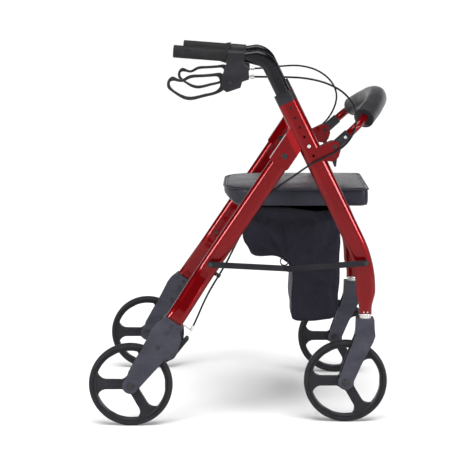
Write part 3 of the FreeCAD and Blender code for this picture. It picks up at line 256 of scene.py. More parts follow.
# ---------------------------------------------------------------- materials
class Shade:
    """One procedural material: a Principled shader and the nodes that feed it."""

    def __init__(self, name, **sockets):
        self.material = bpy.data.materials.new(name)
        self.material.use_nodes = True
        self.tree = self.material.node_tree
        self.tree.nodes.clear()
        self.shader = self.tree.nodes.new("ShaderNodeBsdfPrincipled")
        self.out = self.tree.nodes.new("ShaderNodeOutputMaterial")
        self.join(self.shader.outputs[0], self.out.inputs["Surface"])
        self.place = self.tree.nodes.new("ShaderNodeTexCoord").outputs["Object"]
        for key, value in sockets.items():
            self.shader.inputs[key.replace("_", " ")].default_value = value

    def join(self, source, target):
        self.tree.links.new(source, target)

    def stretched(self, scale):
        node = self.tree.nodes.new("ShaderNodeMapping")
        node.inputs["Scale"].default_value = scale
        self.join(self.place, node.inputs["Vector"])
        return node.outputs[0]

    def noise(self, scale, detail=2.0, rough=0.5, place=None, distortion=0.0):
        node = self.tree.nodes.new("ShaderNodeTexNoise")
        node.inputs["Scale"].default_value = scale
        node.inputs["Detail"].default_value = detail
        node.inputs["Roughness"].default_value = rough
        node.inputs["Distortion"].default_value = distortion
        self.join(place or self.place, node.inputs["Vector"])
        return node.outputs["Fac"]

    def cells(self, scale, feature="F1"):
        node = self.tree.nodes.new("ShaderNodeTexVoronoi")
        node.feature = feature
        node.inputs["Scale"].default_value = scale
        self.join(self.place, node.inputs["Vector"])
        return node.outputs["Distance"]

    def waves(self, scale, direction, distortion=0.0):
        node = self.tree.nodes.new("ShaderNodeTexWave")
        node.bands_direction = direction
        node.inputs["Scale"].default_value = scale
        node.inputs["Distortion"].default_value = distortion
        self.join(self.place, node.inputs["Vector"])
        return node.outputs["Fac"]

    def math(self, operation, a, b=0.0):
        node = self.tree.nodes.new("ShaderNodeMath")
        node.operation = operation
        for value, target in ((a, node.inputs[0]), (b, node.inputs[1])):
            if isinstance(value, (int, float)):
                target.default_value = value
            else:
                self.join(value, target)
        return node.outputs[0]

    def spread(self, source, low, high, to_low, to_high):
        node = self.tree.nodes.new("ShaderNodeMapRange")
        for key, value in (("From Min", low), ("From Max", high), ("To Min", to_low), ("To Max", to_high)):
            node.inputs[key].default_value = value
        self.join(source, node.inputs["Value"])
        return node.outputs[0]

    def ramp(self, source, *stops):
        node = self.tree.nodes.new("ShaderNodeValToRGB")
        elements = node.color_ramp.elements
        while len(elements) < len(stops):
            elements.new(0.5)
        for element, (position, colour) in zip(elements, stops):
            element.position = position
            element.color = (*colour, 1.0)
        self.join(source, node.inputs["Fac"])
        return node.outputs["Color"]

    def bump(self, height, distance, strength=1.0, under=None):
        node = self.tree.nodes.new("ShaderNodeBump")
        node.inputs["Distance"].default_value = distance
        node.inputs["Strength"].default_value = strength
        self.join(height, node.inputs["Height"])
        if under:
            self.join(under, node.inputs["Normal"])
        return node.outputs["Normal"]

    def set(self, **sources):
        for key, source in sources.items():
            self.join(source, self.shader.inputs[key.replace("_", " ")])
        return self


def candy_red():
    """Clear-coated metallic red: slight pooling of the dye, a trace of orange peel, faint handling marks."""
    s = Shade("candy_red", Metallic=0.55, Specular_IOR_Level=0.05,
              Coat_Weight=0.32, Coat_Roughness=0.03, Coat_IOR=1.5)
    pooled = s.noise(7.0, 3.0)
    flake = s.noise(2600.0, 1.0)
    tone = s.math("ADD", s.math("MULTIPLY", flake, 0.12), s.math("MULTIPLY", pooled, 0.88))
    colour = s.ramp(tone, (0.3, (0.115, 0.0002, 0.0014)), (0.55, (0.145, 0.0003, 0.0019)),
                    (0.75, (0.175, 0.0005, 0.0026)))
    dust = s.noise(60.0, 4.0, 0.7)
    peel = s.bump(s.noise(420.0, 1.0), 0.00002, 0.3)
    return s.set(Base_Color=colour, Roughness=s.spread(dust, 0.3, 0.8, 0.26, 0.34), Coat_Normal=peel).material


def gloss_black():
    s = Shade("gloss_black", Coat_Weight=0.3, Coat_Roughness=0.04, Specular_IOR_Level=0.08)
    cloud = s.noise(40.0, 3.0)
    return s.set(Base_Color=s.ramp(cloud, (0.3, (0.002, 0.002, 0.003)), (0.7, (0.006, 0.006, 0.008))),
                 Roughness=s.spread(cloud, 0.3, 0.7, 0.2, 0.32),
                 Coat_Normal=s.bump(s.noise(380.0, 1.0), 0.00002, 0.4)).material


def powder_black():
    s = Shade("powder_black", Specular_IOR_Level=0.16)
    grain = s.noise(1400.0, 2.0)
    cloud = s.noise(25.0, 3.0)
    return s.set(Base_Color=s.ramp(cloud, (0.3, (0.005, 0.005, 0.007)), (0.7, (0.012, 0.012, 0.015))),
                 Roughness=s.spread(grain, 0.3, 0.7, 0.34, 0.5),
                 Normal=s.bump(grain, 0.00006, 0.6)).material


def moulded(name, dark, light, rough, grain_scale=1100.0, depth=0.00005):
    """Moulded plastic with a spark-eroded grain, faint flow marks and slightly burnished high spots."""
    s = Shade(name, Specular_IOR_Level=0.16)
    grain = s.cells(grain_scale)
    flow = s.noise(14.0, 4.0, 0.6, s.stretched((1.0, 1.0, 2.5)))
    scuff = s.noise(160.0, 5.0, 0.75)
    tone = s.math("ADD", s.math("MULTIPLY", flow, 0.7), s.math("MULTIPLY", scuff, 0.3))
    return s.set(Base_Color=s.ramp(tone, (0.3, dark), (0.7, light)),
                 Roughness=s.spread(scuff, 0.3, 0.7, rough - 0.07, rough + 0.08),
                 Normal=s.bump(grain, depth, 0.5)).material


def tyre_rubber():
    s = Shade("tyre_rubber", Specular_IOR_Level=0.14)
    dust = s.noise(45.0, 6.0, 0.7)
    grain = s.noise(900.0, 3.0)
    return s.set(Base_Color=s.ramp(dust, (0.3, (0.007, 0.007, 0.009)), (0.72, (0.018, 0.0175, 0.020))),
                 Roughness=s.spread(dust, 0.3, 0.7, 0.42, 0.62),
                 Normal=s.bump(grain, 0.00008, 0.5)).material


def grip_rubber():
    """Soft rubber with fine ribs round the grip and a dusting where hands hold it."""
    s = Shade("grip_rubber", Specular_IOR_Level=0.16)
    worn = s.noise(55.0, 4.0, 0.6)
    ribs = s.waves(95.0, "X")
    fine = s.noise(1500.0, 2.0)
    return s.set(Base_Color=s.ramp(worn, (0.3, (0.006, 0.006, 0.007)), (0.75, (0.017, 0.017, 0.018))),
                 Roughness=s.spread(worn, 0.3, 0.7, 0.5, 0.68),
                 Normal=s.bump(ribs, 0.0004, 0.7, s.bump(fine, 0.00006, 0.5))).material


def steel():
    s = Shade("zinc_steel", Metallic=1.0, Anisotropic=0.3)
    lines = s.noise(700.0, 3.0, 0.6, s.stretched((1.0, 0.06, 1.0)))
    spots = s.noise(120.0, 4.0, 0.7)
    return s.set(Base_Color=s.ramp(spots, (0.3, (0.46, 0.46, 0.47)), (0.7, (0.70, 0.70, 0.70))),
                 Roughness=s.spread(lines, 0.3, 0.7, 0.18, 0.36),
                 Normal=s.bump(lines, 0.00003, 0.4)).material


def black_steel():
    s = Shade("black_oxide_steel", Metallic=0.8)
    worn = s.noise(240.0, 5.0, 0.7)
    return s.set(Base_Color=s.ramp(worn, (0.35, (0.018, 0.018, 0.020)), (0.8, (0.075, 0.073, 0.072))),
                 Roughness=s.spread(worn, 0.3, 0.7, 0.3, 0.5),
                 Normal=s.bump(worn, 0.00004, 0.4)).material


def masked_steel(name, axis, low, high, other_axis=None, other_low=0.0, other_high=0.0):
    """Zinc-plated inside a band of one or two coordinates, and black oxide outside it."""
    s = Shade(name, Metallic=1.0)
    split = s.tree.nodes.new("ShaderNodeSeparateXYZ")
    s.join(s.place, split.inputs[0])
    inside = s.math("MULTIPLY", s.math("GREATER_THAN", split.outputs[axis], low),
                    s.math("LESS_THAN", split.outputs[axis], high))
    if other_axis:
        second = s.math("MULTIPLY", s.math("GREATER_THAN", split.outputs[other_axis], other_low),
                        s.math("LESS_THAN", split.outputs[other_axis], other_high))
        inside = s.math("MULTIPLY", inside, second)
    worn = s.noise(180.0, 5.0, 0.7)
    shade = s.math("MULTIPLY", s.spread(worn, 0.3, 0.7, 0.8, 1.1), s.spread(inside, 0.0, 1.0, 0.045, 0.62))
    return s.set(Base_Color=s.ramp(shade, (0.0, (0.0, 0.0, 0.0)), (1.0, (1.0, 1.0, 1.0))),
                 Roughness=s.spread(worn, 0.3, 0.7, 0.2, 0.4),
                 Normal=s.bump(worn, 0.00003, 0.4)).material


def nylon():
    s = Shade("bush_nylon", Subsurface_Weight=0.15, Specular_IOR_Level=0.16)
    s.shader.inputs["Subsurface Scale"].default_value = 0.002
    cloud = s.noise(180.0, 3.0)
    return s.set(Base_Color=s.ramp(cloud, (0.3, (0.62, 0.60, 0.56)), (0.7, (0.76, 0.74, 0.70))),
                 Roughness=s.spread(cloud, 0.3, 0.7, 0.3, 0.45),
                 Normal=s.bump(cloud, 0.00004, 0.4)).material


def cable_jacket():
    s = Shade("cable_jacket", Specular_IOR_Level=0.16)
    cloud = s.noise(130.0, 3.0)
    return s.set(Base_Color=s.ramp(cloud, (0.3, (0.004, 0.004, 0.004)), (0.7, (0.010, 0.010, 0.011))),
                 Roughness=s.spread(cloud, 0.3, 0.7, 0.26, 0.4),
                 Normal=s.bump(s.noise(800.0, 2.0), 0.00003, 0.4)).material


def plywood():
    s = Shade("seat_board", Specular_IOR_Level=0.3)
    grain = s.noise(30.0, 6.0, 0.65, s.stretched((1.0, 9.0, 9.0)), 0.6)
    return s.set(Base_Color=s.ramp(grain, (0.3, (0.16, 0.095, 0.05)), (0.7, (0.34, 0.22, 0.12))),
                 Roughness=s.spread(grain, 0.3, 0.7, 0.55, 0.75),
                 Normal=s.bump(grain, 0.0002, 0.5)).material


def vinyl(name, dark, light, rough):
    """Upholstery vinyl: pebbled leather grain, faint stretch creases, rubbed high spots."""
    s = Shade(name, Specular_IOR_Level=0.16, Sheen_Weight=0.08, Sheen_Roughness=0.4)
    pebble = s.cells(620.0, "SMOOTH_F1")
    veins = s.cells(330.0, "DISTANCE_TO_EDGE")
    soft = s.noise(16.0, 4.0, 0.6)
    rubbed = s.noise(70.0, 5.0, 0.7)
    tone = s.math("ADD", s.math("MULTIPLY", soft, 0.6), s.math("MULTIPLY", rubbed, 0.4))
    grain = s.math("ADD", s.math("MULTIPLY", pebble, -0.6), s.math("MINIMUM", veins, 0.25))
    relief = s.bump(grain, 0.00025, 0.6, s.bump(soft, 0.00035, 0.5))
    return s.set(Base_Color=s.ramp(tone, (0.3, dark), (0.7, light)),
                 Roughness=s.spread(rubbed, 0.3, 0.7, rough - 0.08, rough + 0.08), Normal=relief).material


def woven_nylon(name="pouch_nylon", dark=(0.006, 0.0055, 0.011), light=(0.015, 0.014, 0.024), pitch=1500.0):
    """Plain-weave nylon: crossed threads, a slight sheen, uneven dye."""
    s = Shade(name, Specular_IOR_Level=0.14, Sheen_Weight=0.16, Sheen_Roughness=0.3)
    s.shader.inputs["Sheen Tint"].default_value = (0.55, 0.52, 0.75, 1.0)
    scale = pitch / 6.28
    warp = s.waves(scale, "Z", 0.4)
    weft = s.waves(scale, "X", 0.4)
    cross = s.waves(scale, "Y", 0.4)
    thread = s.math("MULTIPLY", s.math("MAXIMUM", warp, cross), weft)
    cloud = s.noise(22.0, 4.0, 0.6)
    tone = s.math("ADD", s.math("MULTIPLY", thread, 0.35), s.math("MULTIPLY", cloud, 0.65))
    crumple = s.noise(19.0, 5.0, 0.5, s.stretched((1.0, 1.0, 0.7)), 1.4)
    relief = s.bump(thread, 0.00018, 0.6, s.bump(crumple, 0.009, 0.9))
    return s.set(Base_Color=s.ramp(tone, (0.3, dark), (0.75, light)),
                 Roughness=s.spread(cloud, 0.3, 0.7, 0.5, 0.66), Normal=relief).material


def floor_paint():
    s = Shade("studio_floor", Roughness=0.55, Specular_IOR_Level=0.2)
    cloud = s.noise(0.8, 3.0)
    return s.set(Base_Color=s.ramp(cloud, (0.3, (0.90, 0.90, 0.90)), (0.7, (0.92, 0.92, 0.92)))).material


LOOKS = {
    "red_paint": candy_red(),
    "black_paint": powder_black(),
    "handle_gloss": gloss_black(),
    "dark_plastic": moulded("collar_plastic", (0.008, 0.008, 0.010), (0.020, 0.020, 0.024), 0.44),
    "lever_plastic": moulded("lever_plastic", (0.008, 0.008, 0.009), (0.020, 0.020, 0.022), 0.38,
                             1500.0, 0.00003),
    "fork_plastic": moulded("fork_plastic", (0.022, 0.022, 0.031), (0.046, 0.046, 0.062), 0.45),
    "wheel_plastic": moulded("wheel_plastic", (0.007, 0.007, 0.009), (0.017, 0.017, 0.021), 0.36),
    "tyre": tyre_rubber(),
    "grip_rubber": grip_rubber(),
    "bright_steel": steel(),
    "black_steel": black_steel(),
    "bush_nylon": nylon(),
    "cable_jacket": cable_jacket(),
    "board": plywood(),
    "seat_vinyl": vinyl("seat_vinyl", (0.013, 0.013, 0.021), (0.024, 0.024, 0.035), 0.34),
    "pad_vinyl": vinyl("pad_vinyl", (0.012, 0.012, 0.014), (0.026, 0.026, 0.031), 0.36),
    "pouch_fabric": woven_nylon(),
}
SLOT_OF = {row["node"]: row["material_slot"] for row in frame["record"]["subparts"]}
BOLTS = masked_steel("frame_bolts", "X", 0.150, 0.175, "Z", 0.664, 0.688)
CASTER_STEEL = masked_steel("caster_steel", "Z", 0.185, 0.500)
LEVER_STEEL = masked_steel("lever_steel", "X", 0.004, 0.080)
OWN_LOOK = {"frame_pivot_bolts": BOLTS}
for side in SIDES:
    OWN_LOOK["caster_hardware_" + side] = CASTER_STEEL
    OWN_LOOK["brake_fittings_" + side] = LEVER_STEEL
for node_name, thing in NODES.items():
    thing.data.materials.clear()
    thing.data.materials.append(OWN_LOOK.get(node_name) or LOOKS[SLOT_OF[node_name]])


def dress(thing, slot, material=None):
    thing.data.materials.clear()
    thing.data.materials.append(material or LOOKS[slot])
    return thing


# ---------------------------------------------------------------- seat cushion
SEAT_REAR, SEAT_FRONT, SEAT_HALF_Y = -0.0436, 0.3134, 0.178
SEAT_REAR_R, SEAT_FRONT_R = 0.095, 0.018
BOARD_WRAP_Z = 0.531
WELT_Z = 0.5618
SEAT_TOP_Z = 0.565
# the underside rises toward the rear edge
UNDER_REAR_Z, UNDER_SLOPE = 0.5465, 0.87
# how far in from the outline and how high each ring of the cover is, from the underside to the top
SEAT_PROFILE = [(0.0290, 0.5292), (0.0290, 0.5206), (0.006, 0.5206), (0.0015, 0.5235), (0.0, 0.530),
                (0.0, 0.540), (0.0, 0.552), (0.0005, 0.5600), (0.0035, 0.5638), (0.010, 0.5650),
                (0.060, 0.5655)]


def ruffled(co, scale, amount):
    return amount * noise.noise(co * scale)


def inward(away, inset):
    """A step of at most inset toward the middle, for a point more than 100 mm from it."""
    return math.copysign(min(inset, abs(away)), away) if abs(away) > 0.1 else 0.0


def seat_cushion():
    """Foam seat in vinyl: crowned top, bulging sides between a welt and the board, seams and stitching."""
    plan = rounded_plan(SEAT_REAR, SEAT_FRONT, SEAT_HALF_Y, SEAT_REAR_R, SEAT_FRONT_R)
    middle = Vector((0.135, 0.0, 0.0))
    corner_x, corner_y = SEAT_REAR + SEAT_REAR_R, SEAT_HALF_Y - SEAT_REAR_R

    def ring(inset, z):
        points = []
        for p in plan:
            away = middle - p
            x, y = p.x + inward(away.x, inset), p.y + inward(away.y, inset)
            under = UNDER_REAR_Z - (x - SEAT_REAR) * UNDER_SLOPE
            points.append(Vector((x, y, max(z, under) if z < 0.546 else z)))
        return points

    def held(co):
        """The band at the welt, the board's edge and the middle of the underside stay put."""
        rim = min(abs(co.x - SEAT_REAR), abs(co.x - SEAT_FRONT), SEAT_HALF_Y - abs(co.y))
        if co.x < corner_x and abs(co.y) > corner_y:
            rim = min(rim, abs(math.hypot(co.x - corner_x, abs(co.y) - corner_y) - SEAT_REAR_R))
        by_welt = rim < 0.007 and co.z > 0.5585
        return by_welt or co.z < BOARD_WRAP_Z or (rim > 0.024 and co.z < 0.540)
    body = ring_mesh("seat_cushion_cover", [ring(*row) for row in SEAT_PROFILE])
    blown(body, held, 4.0, 0.004)
    for v in body.data.vertices:
        if v.co.z > BOARD_WRAP_Z:
            v.co += v.normal * (ruffled(v.co, 22.0, 0.0005) + ruffled(v.co, 70.0, 0.00025))
    subdivided(body)
    dress(body, "seat_vinyl")
    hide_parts("seat_cushion")
    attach(body, "seat")

    welt = hoop_mesh("seat_welt", [Vector((p.x, p.y, WELT_Z)) for p in plan], 0.0022, 10, (0, 0, 1))
    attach(dress(welt, "seat_vinyl"), "seat")

    surface = BVHTree.FromObject(body, bpy.context.evaluated_depsgraph_get())

    def landed(p):
        hit = surface.ray_cast(Vector((p.x, p.y, 0.60)), Vector((0, 0, -1)))[0]
        return hit or Vector((p.x, p.y, SEAT_TOP_Z))
    inset = 0.009
    inner = rounded_plan(SEAT_REAR + inset, SEAT_FRONT - inset, SEAT_HALF_Y - inset, SEAT_REAR_R - inset, 0.012,
                         0.006)
    row = stitches("seat_stitches", [landed(p) for p in inner], lambda p: Vector((0, 0, 1)))
    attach(dress(row, "seat_vinyl", THREAD), "seat")
    seam_x, seam_y = SEAT_FRONT - 0.0052, SEAT_HALF_Y - 0.0052
    for sign, side in SIGNED_SIDES:
        line = [Vector((seam_x, sign * seam_y, z / 1000)) for z in range(524, 561, 3)]
        seam = tube_mesh("seat_corner_seam_" + side, line, 0.0015, 8, (1, 0, 0))
        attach(dress(seam, "seat_vinyl"), "seat")


# ---------------------------------------------------------------- backrest pad
ALONG = Vector((math.cos(math.radians(42)), 0, math.sin(math.radians(42))))
ACROSS = Vector((0, 1, 0))
BOW_NORMAL = Vector((-ALONG.z, 0, ALONG.x))
BOW_R, BOW_HALF_Y = 0.401, 0.212
BOW_SWEEP = math.asin(BOW_HALF_Y / BOW_R)
BOW_CENTRE = mm(224.5, 0, 675) + ALONG * (0.0967 + BOW_R * (1 - math.cos(BOW_SWEEP)) - BOW_R)
PAD_R = 0.0250
BEAD_AT, BEAD_R = 0.0016, 0.0243
# how far in from the roll's end and how far from its axis each ring of the end cap is
PAD_CAP = [(0.0030, 0.0110), (0.0026, 0.0195), (0.0006, 0.0215), (0.0, 0.0228), (0.0010, 0.0243),
           (0.0040, PAD_R)]


def bow(t, out=0.0, lift=0.0):
    """A place in the bow by its angle, out from the bow's line and square to its plane."""
    radial = ALONG * math.cos(t) + ACROSS * math.sin(t)
    return BOW_CENTRE + radial * (BOW_R + out) + BOW_NORMAL * lift


def backrest_pad():
    """Foam roll in vinyl on the bent tube, gathered a little where it bows, with dished end caps."""
    count, sides, rings = 150, 64, []
    first = [(-BOW_SWEEP + depth / BOW_R, r) for depth, r in PAD_CAP]
    last = [(-t, r) for t, r in reversed(first)]
    lo, hi = first[-1][0], last[0][0]
    body = [(lo + (hi - lo) * k / count, None) for k in range(1, count)]
    for t, r in first + body + last:
        row = []
        for k in range(sides):
            a = math.tau * k / sides
            radius = r or PAD_R
            if r is None:
                inner = max(0.0, -math.cos(a))
                at = bow(t, radius * math.cos(a), radius * math.sin(a))
                fade = min(1.0, (BOW_SWEEP - abs(t)) / 0.06)
                gather = 0.00035 * inner * math.sin(t * 190 + 3 * noise.noise(at * 30))
                radius += fade * (gather + 0.0006 * noise.noise(at * 26) + 0.0003 * noise.noise(at * 80))
                seam = math.exp(-((a - 3.9) / 0.03) ** 2)
                radius -= 0.0008 * seam
            row.append(bow(t, radius * math.cos(a), radius * math.sin(a)))
        rings.append(row)
    pad = ring_mesh("backrest_pad_cover", rings)
    dress(pad, "pad_vinyl")
    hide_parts("backrest_pad")
    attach(pad, "backrest")
    for sign, side in SIGNED_SIDES:
        end = sign * (BOW_SWEEP - BEAD_AT / BOW_R)
        around = (math.tau * k / 60 for k in range(60))
        line = [bow(end, BEAD_R * math.cos(a), BEAD_R * math.sin(a)) for a in around]
        bead = hoop_mesh("pad_end_bead_" + side, line, 0.0012, 8, ACROSS)
        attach(dress(bead, "pad_vinyl"), "backrest")
    seam_out, seam_lift = 0.0248 * math.cos(3.8), 0.0248 * math.sin(3.8)
    seam_line = [bow(-BOW_SWEEP * 0.97 + BOW_SWEEP * 1.94 * k / 160, seam_out, seam_lift) for k in range(161)]
    row = stitches("pad_stitches", seam_line, lambda p: (p - BOW_CENTRE).normalized() * -1.0)
    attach(dress(row, "pad_vinyl", THREAD), "backrest")


# ---------------------------------------------------------------- pouch
POUCH_SIDE = [(4.5, 440), (10, 423), (19, 415), (23, 397), (33, 392), (50, 391), (84, 392), (99.5, 386),
              (115, 376), (125, 365), (128, 350), (126, 295), (125, 240), (127, 230), (136, 226), (168, 225),
              (231, 233), (240, 241), (244, 315), (247, 361), (246, 392), (248, 425), (246, 450), (244, 484),
              (230, 490)]
POUCH_TOP = [(228, 506), (215, 507), (190, 503), (150, 508), (115, 514), (80, 515), (50, 515), (22, 511)]
POUCH_REAR = [(14, 490), (3, 484)]
# how far out from the middle plane each section near an end is, and how much smaller than the side outline
POUCH_ENDS = [(0.150, 0.006), (0.1488, 0.0025), (0.146, 0.0006), (0.14, 0.0)]
# folds: start, end, half width and depth in millimetres on the side panel
FOLDS = [((122, 372), (52, 448), 9, 5.0), ((118, 378), (88, 498), 10, 4.0),
         ((112, 380), (18, 428), 8, 4.0), ((126, 366), (246, 361), 7, 3.5),
         ((130, 372), (176, 500), 12, 3.0), ((128, 358), (236, 300), 11, 3.0),
         ((127, 330), (200, 240), 13, 2.4), ((244, 470), (190, 380), 12, 2.6),
         ((225, 500), (214, 400), 10, 2.4), ((20, 500), (80, 420), 11, 2.6),
         ((140, 250), (150, 345), 9, 1.8), ((238, 260), (218, 350), 9, 2.0)]
# the hem's section, in millimetres out from the side and up
HEM_SECTION = ((-1.0, -5.5), (1.0, -5.8), (1.6, -4.0), (1.7, 0.0), (1.5, 3.0), (0.4, 4.3), (-1.0, 4.0),
               (-2.0, 0.0))


def fold_depth(x, z):
    """Height of the side panel's drape at a place, in millimetres: creases with soft ridges beside them."""
    total = 0.0
    for (ax, az), (bx, bz), width, depth in FOLDS:
        length = math.hypot(bx - ax, bz - az)
        ux, uz = (bx - ax) / length, (bz - az) / length
        t = ((x - ax) * ux + (z - az) * uz) / length
        across = (x - ax) * -uz + (z - az) * ux
        spread_w = width * (0.45 + 0.9 * min(max(t, 0.0), 1.0))
        ends = max(0.0, min(1.0, (t + 0.12) * 5)) * max(0.0, min(1.0, (1.12 - t) * 2.2))
        q = across / spread_w
        total -= 1.7 * depth * ends * (1 - 1.3 * q * q) * math.exp(-q * q)
    return total


def pouch_shell():
    """Nylon bag hung between the cross tubes: lofted, blown out a little, folded and opened at the top."""
    outline = [Vector((x, 0, z)) * 0.001 for x, z in POUCH_SIDE + POUCH_TOP + POUCH_REAR]
    loop = even_line(outline + [outline[0]], 0.006)[:-1]
    centre = sum(loop, Vector()) / len(loop)
    sections = [(-y, shrink) for y, shrink in POUCH_ENDS] + [(0.0, 0.0)] + POUCH_ENDS[::-1]
    rings = []
    for y, shrink in sections:
        rings.append([p + (centre - p).normalized() * shrink + Vector((0, y, 0)) for p in loop])
    bag = ring_mesh("storage_pouch_fabric", rings)

    def held(co):
        """The mouth, the top of the rear and the two side seams stay put."""
        if co.z > 0.494 or (co.x < 0.020 and co.z > 0.460):
            return True
        return abs(co.y) > 0.141 and min(math.hypot(co.x - p.x, co.z - p.z) for p in loop) < 0.009
    blown(bag, held, 1.6, 0.007)
    for v in bag.data.vertices:
        x, y, z = v.co * 1000
        push = 0.0
        if abs(v.normal.y) > 0.6:
            edge = min(1.0, max(0.0, (abs(y) - 137) / 6))
            push = fold_depth(x, z) * edge * (0.85 if y > 0 else 1.0)
        elif z < 500:
            push = 3.2 * noise.noise(Vector((x * 0.018, y * 0.016, z * 0.02))) - 1.2 * (1 - (y / 150) ** 2)
        push += 1.0 * noise.noise(v.co * 34) + 0.5 * noise.noise(v.co * 90)
        if z > 496:
            push *= 0.35
        v.co += v.normal * push * 0.001
    mesh = bmesh.new()
    mesh.from_mesh(bag.data)
    mesh.normal_update()
    lid = [f for f in mesh.faces if f.normal.z > 0.75 and f.calc_center_median().z > 0.4985]
    bmesh.ops.delete(mesh, geom=lid, context="FACES")
    mesh.to_mesh(bag.data)
    mesh.free()
    modify(bag, "SMOOTH", factor=0.5, iterations=2)
    modify(bag, "SOLIDIFY", thickness=0.0014, offset=-1.0)
    apply_modifiers(bag)
    bag.data.shade_smooth()
    dress(bag, "pouch_fabric")
    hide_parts("storage_pouch")
    surface = BVHTree.FromObject(bag, bpy.context.evaluated_depsgraph_get())
    hang_on_frame(bag)
    return surface


def hang_on_frame(thing):
    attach(thing, "front_frame")
    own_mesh(thing)


def pouch_details(surface):
    """Bound hem round the mouth and piped side seams, laid on the finished bag."""
    for sign, side in SIGNED_SIDES:
        wanted = even_line([mm(x, sign * 147.5, z) for x, z in POUCH_SIDE], 0.006)
        seam = [surface.find_nearest(p)[0] for p in wanted]
        for _ in range(3):
            seam = [seam[0]] + [(a + b * 2 + c) / 4 for a, b, c in zip(seam, seam[1:], seam[2:])] + [seam[-1]]
        piping = tube_mesh("pouch_piping_" + side, seam, 0.0017, 8, (0, 1, 0))
        hang_on_frame(dress(piping, "pouch_fabric"))
        top = even_line([mm(x, sign * 149.5, z - 3.0) for x, z in POUCH_TOP], 0.006)
        out, up = Vector((0, sign, 0)), Vector((0, 0, 1))
        rows = [[p + out * a * 0.001 + up * b * 0.001 for a, b in HEM_SECTION] for p in top]
        hem = ring_mesh("pouch_hem_" + side, rows)
        hang_on_frame(dress(hem, "pouch_fabric", WEBBING))
        under_hem = [p + Vector((0, sign * 0.0018, -0.0035)) for p in top[1:-1]]
        row = stitches("pouch_hem_stitches_" + side, under_hem, lambda p, out=out: out, 0.005, 0.0032, 0.0004)
        hang_on_frame(dress(row, "pouch_fabric", THREAD))


# ---------------------------------------------------------------- brake cables
CABLE_R = 0.0024
# the rear leg's line in millimetres, from the rear axle to the leg's top
LEG_AXLE = Vector((-265.0, 0, 101.5))
LEG_TOP = Vector((105.0, 0, 652.7))
LEG_UP = (LEG_TOP - LEG_AXLE).normalized()
LEG_FRONT = Vector((LEG_UP.z, 0, -LEG_UP.x))


def leg_place(up, front, y):
    """A place by its distance up the leg's line and in front of it, in millimetres."""
    p = LEG_AXLE + LEG_UP * up + LEG_FRONT * front
    return Vector((p.x, y, p.z))


def cable_route(side):
    """Control points of the cable's line on the right, from the housing down to its stop on the fork."""
    y = -238.0
    if side == "right":
        loop = [(30.0, 0, 839.7), (62, 2, 839.5), (106, 6, 839), (152, 8, 837), (200, 6, 827), (242, -2, 807),
                (268, -12, 778), (277, -22, 742), (269, -31, 706), (246, -36, 676), (210, -37, 655),
                (170, -36, 637), (130, -26, 607), (88, -6, 576)]
    else:
        loop = [(30.0, 0, 839.7), (62, 2, 840.5), (108, 6, 847), (156, 8, 849), (204, 6, 836), (240, 0, 808),
                (257, -10, 772), (252, -22, 736), (234, -33, 702), (208, -37, 676), (172, -36, 648),
                (132, -26, 612), (88, -6, 577)]
    leg = [(532, 15, 19), (486, 18.5, 19), (440, 21, 19), (398, 27, 17), (364, 31, 11), (333, 32, 3),
           (292, 33, -10), (257, 37, -26), (230, 42, -36)]
    points = [Vector((x, y + off, z)) for x, off, z in loop]
    points += [leg_place(up, front, -252.0 + inward) for up, front, inward in leg]
    points.append(leg_place(205, 46, -291.0))
    sign = 1 if side == "right" else -1
    return [Vector((p.x, p.y * sign, p.z)) * 0.001 for p in points]


def brake_cable(side):
    line = even_line(nurbs_line(cable_route(side)), 0.003)
    cut_x, cut_z = 0.168, 0.636
    cut = min(range(len(line) // 3, len(line)), key=lambda i: abs(line[i].x - cut_x) + abs(line[i].z - cut_z))
    upper = tube_mesh("brake_cable_upper_" + side, line[:cut + 1], CABLE_R)
    lower = tube_mesh("brake_cable_lower_" + side, line[cut:], CABLE_R)
    dress(upper, "cable_jacket")
    dress(lower, "cable_jacket")
    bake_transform(upper)
    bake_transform(lower)
    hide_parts("brake_cable_" + side)
    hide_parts("brake_cable_" + side)


THREAD = vinyl("seam_thread", (0.012, 0.012, 0.014), (0.030, 0.030, 0.034), 0.6)
WEBBING = woven_nylon("webbing", (0.005, 0.005, 0.008), (0.012, 0.012, 0.017), 900.0)
seat_cushion()
backrest_pad()
pouch_details(pouch_shell())
for cable_side in SIDES:
    brake_cable(cable_side)


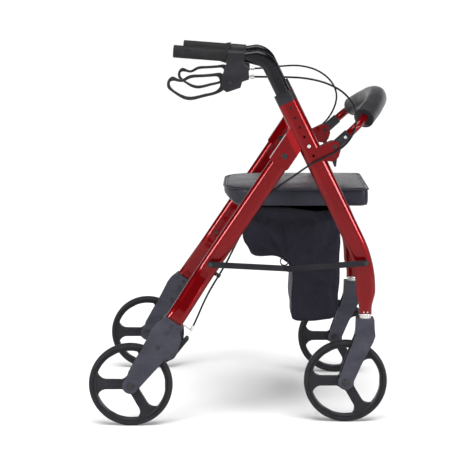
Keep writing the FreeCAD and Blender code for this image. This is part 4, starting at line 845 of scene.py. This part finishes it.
# ---------------------------------------------------------------- camera, floor and light
def stage_camera():
    data = bpy.data.cameras.new("camera")
    data.sensor_width = 36.0
    data.lens = 114.9
    data.clip_start, data.clip_end = 0.1, 900.0
    camera = bpy.data.objects.new("camera", data)
    camera.location = (0.0354, -3.82675, 1.0085)
    camera.rotation_euler = (math.pi / 2 - 0.1521, 0.0, 0.0136)
    bpy.context.scene.collection.objects.link(camera)
    bpy.context.scene.camera = camera


def stage_floor():
    """Wide floor that lifts very slightly far behind, so that it fills the picture."""
    turns = [math.tau * k / 96 for k in range(96)]
    radii_and_heights = ((0.0002, 0), (0.5, 0), (1.5, 0), (5, 0), (20, 0), (40, 0.4), (80, 3.0), (160, 14.0),
                         (400, 90.0))
    rings = [[Vector((r * math.cos(a), r * math.sin(a), z)) for a in turns] for r, z in radii_and_heights]
    floor = ring_mesh("floor", rings, caps=False)
    floor.data.materials.append(floor_paint())


def lamp(name, kind, energy, place, aim, **values):
    data = bpy.data.lights.new(name, kind)
    data.energy = energy
    for key, value in values.items():
        setattr(data, key, value)
    thing = bpy.data.objects.new(name, data)
    thing.location = place
    thing.rotation_euler = (Vector(place) - Vector(aim)).to_track_quat("Z", "Y").to_euler()
    bpy.context.scene.collection.objects.link(thing)


def stage_light():
    world = bpy.data.worlds.new("studio")
    bpy.context.scene.world = world
    world.use_nodes = True
    world.node_tree.nodes["Background"].inputs["Color"].default_value = (1.0, 1.0, 1.0, 1.0)
    world.node_tree.nodes["Background"].inputs["Strength"].default_value = 0.10
    lamp("overhead", "SUN", 3.55, (0.2, -0.7, 3.0), (0, 0, 0), angle=math.radians(50))
    lamp("left_box", "AREA", 120.0, (-3.45, -2.9, 1.95), (0, 0, 0.5), shape="RECTANGLE", size=2.4, size_y=0.6)
    lamp("right_box", "AREA", 120.0, (3.7, -2.6, 1.65), (0, 0, 0.5), shape="RECTANGLE", size=2.4, size_y=0.6)
    bpy.context.scene.view_settings.view_transform = "Standard"


stage_camera()
stage_floor()
stage_light()
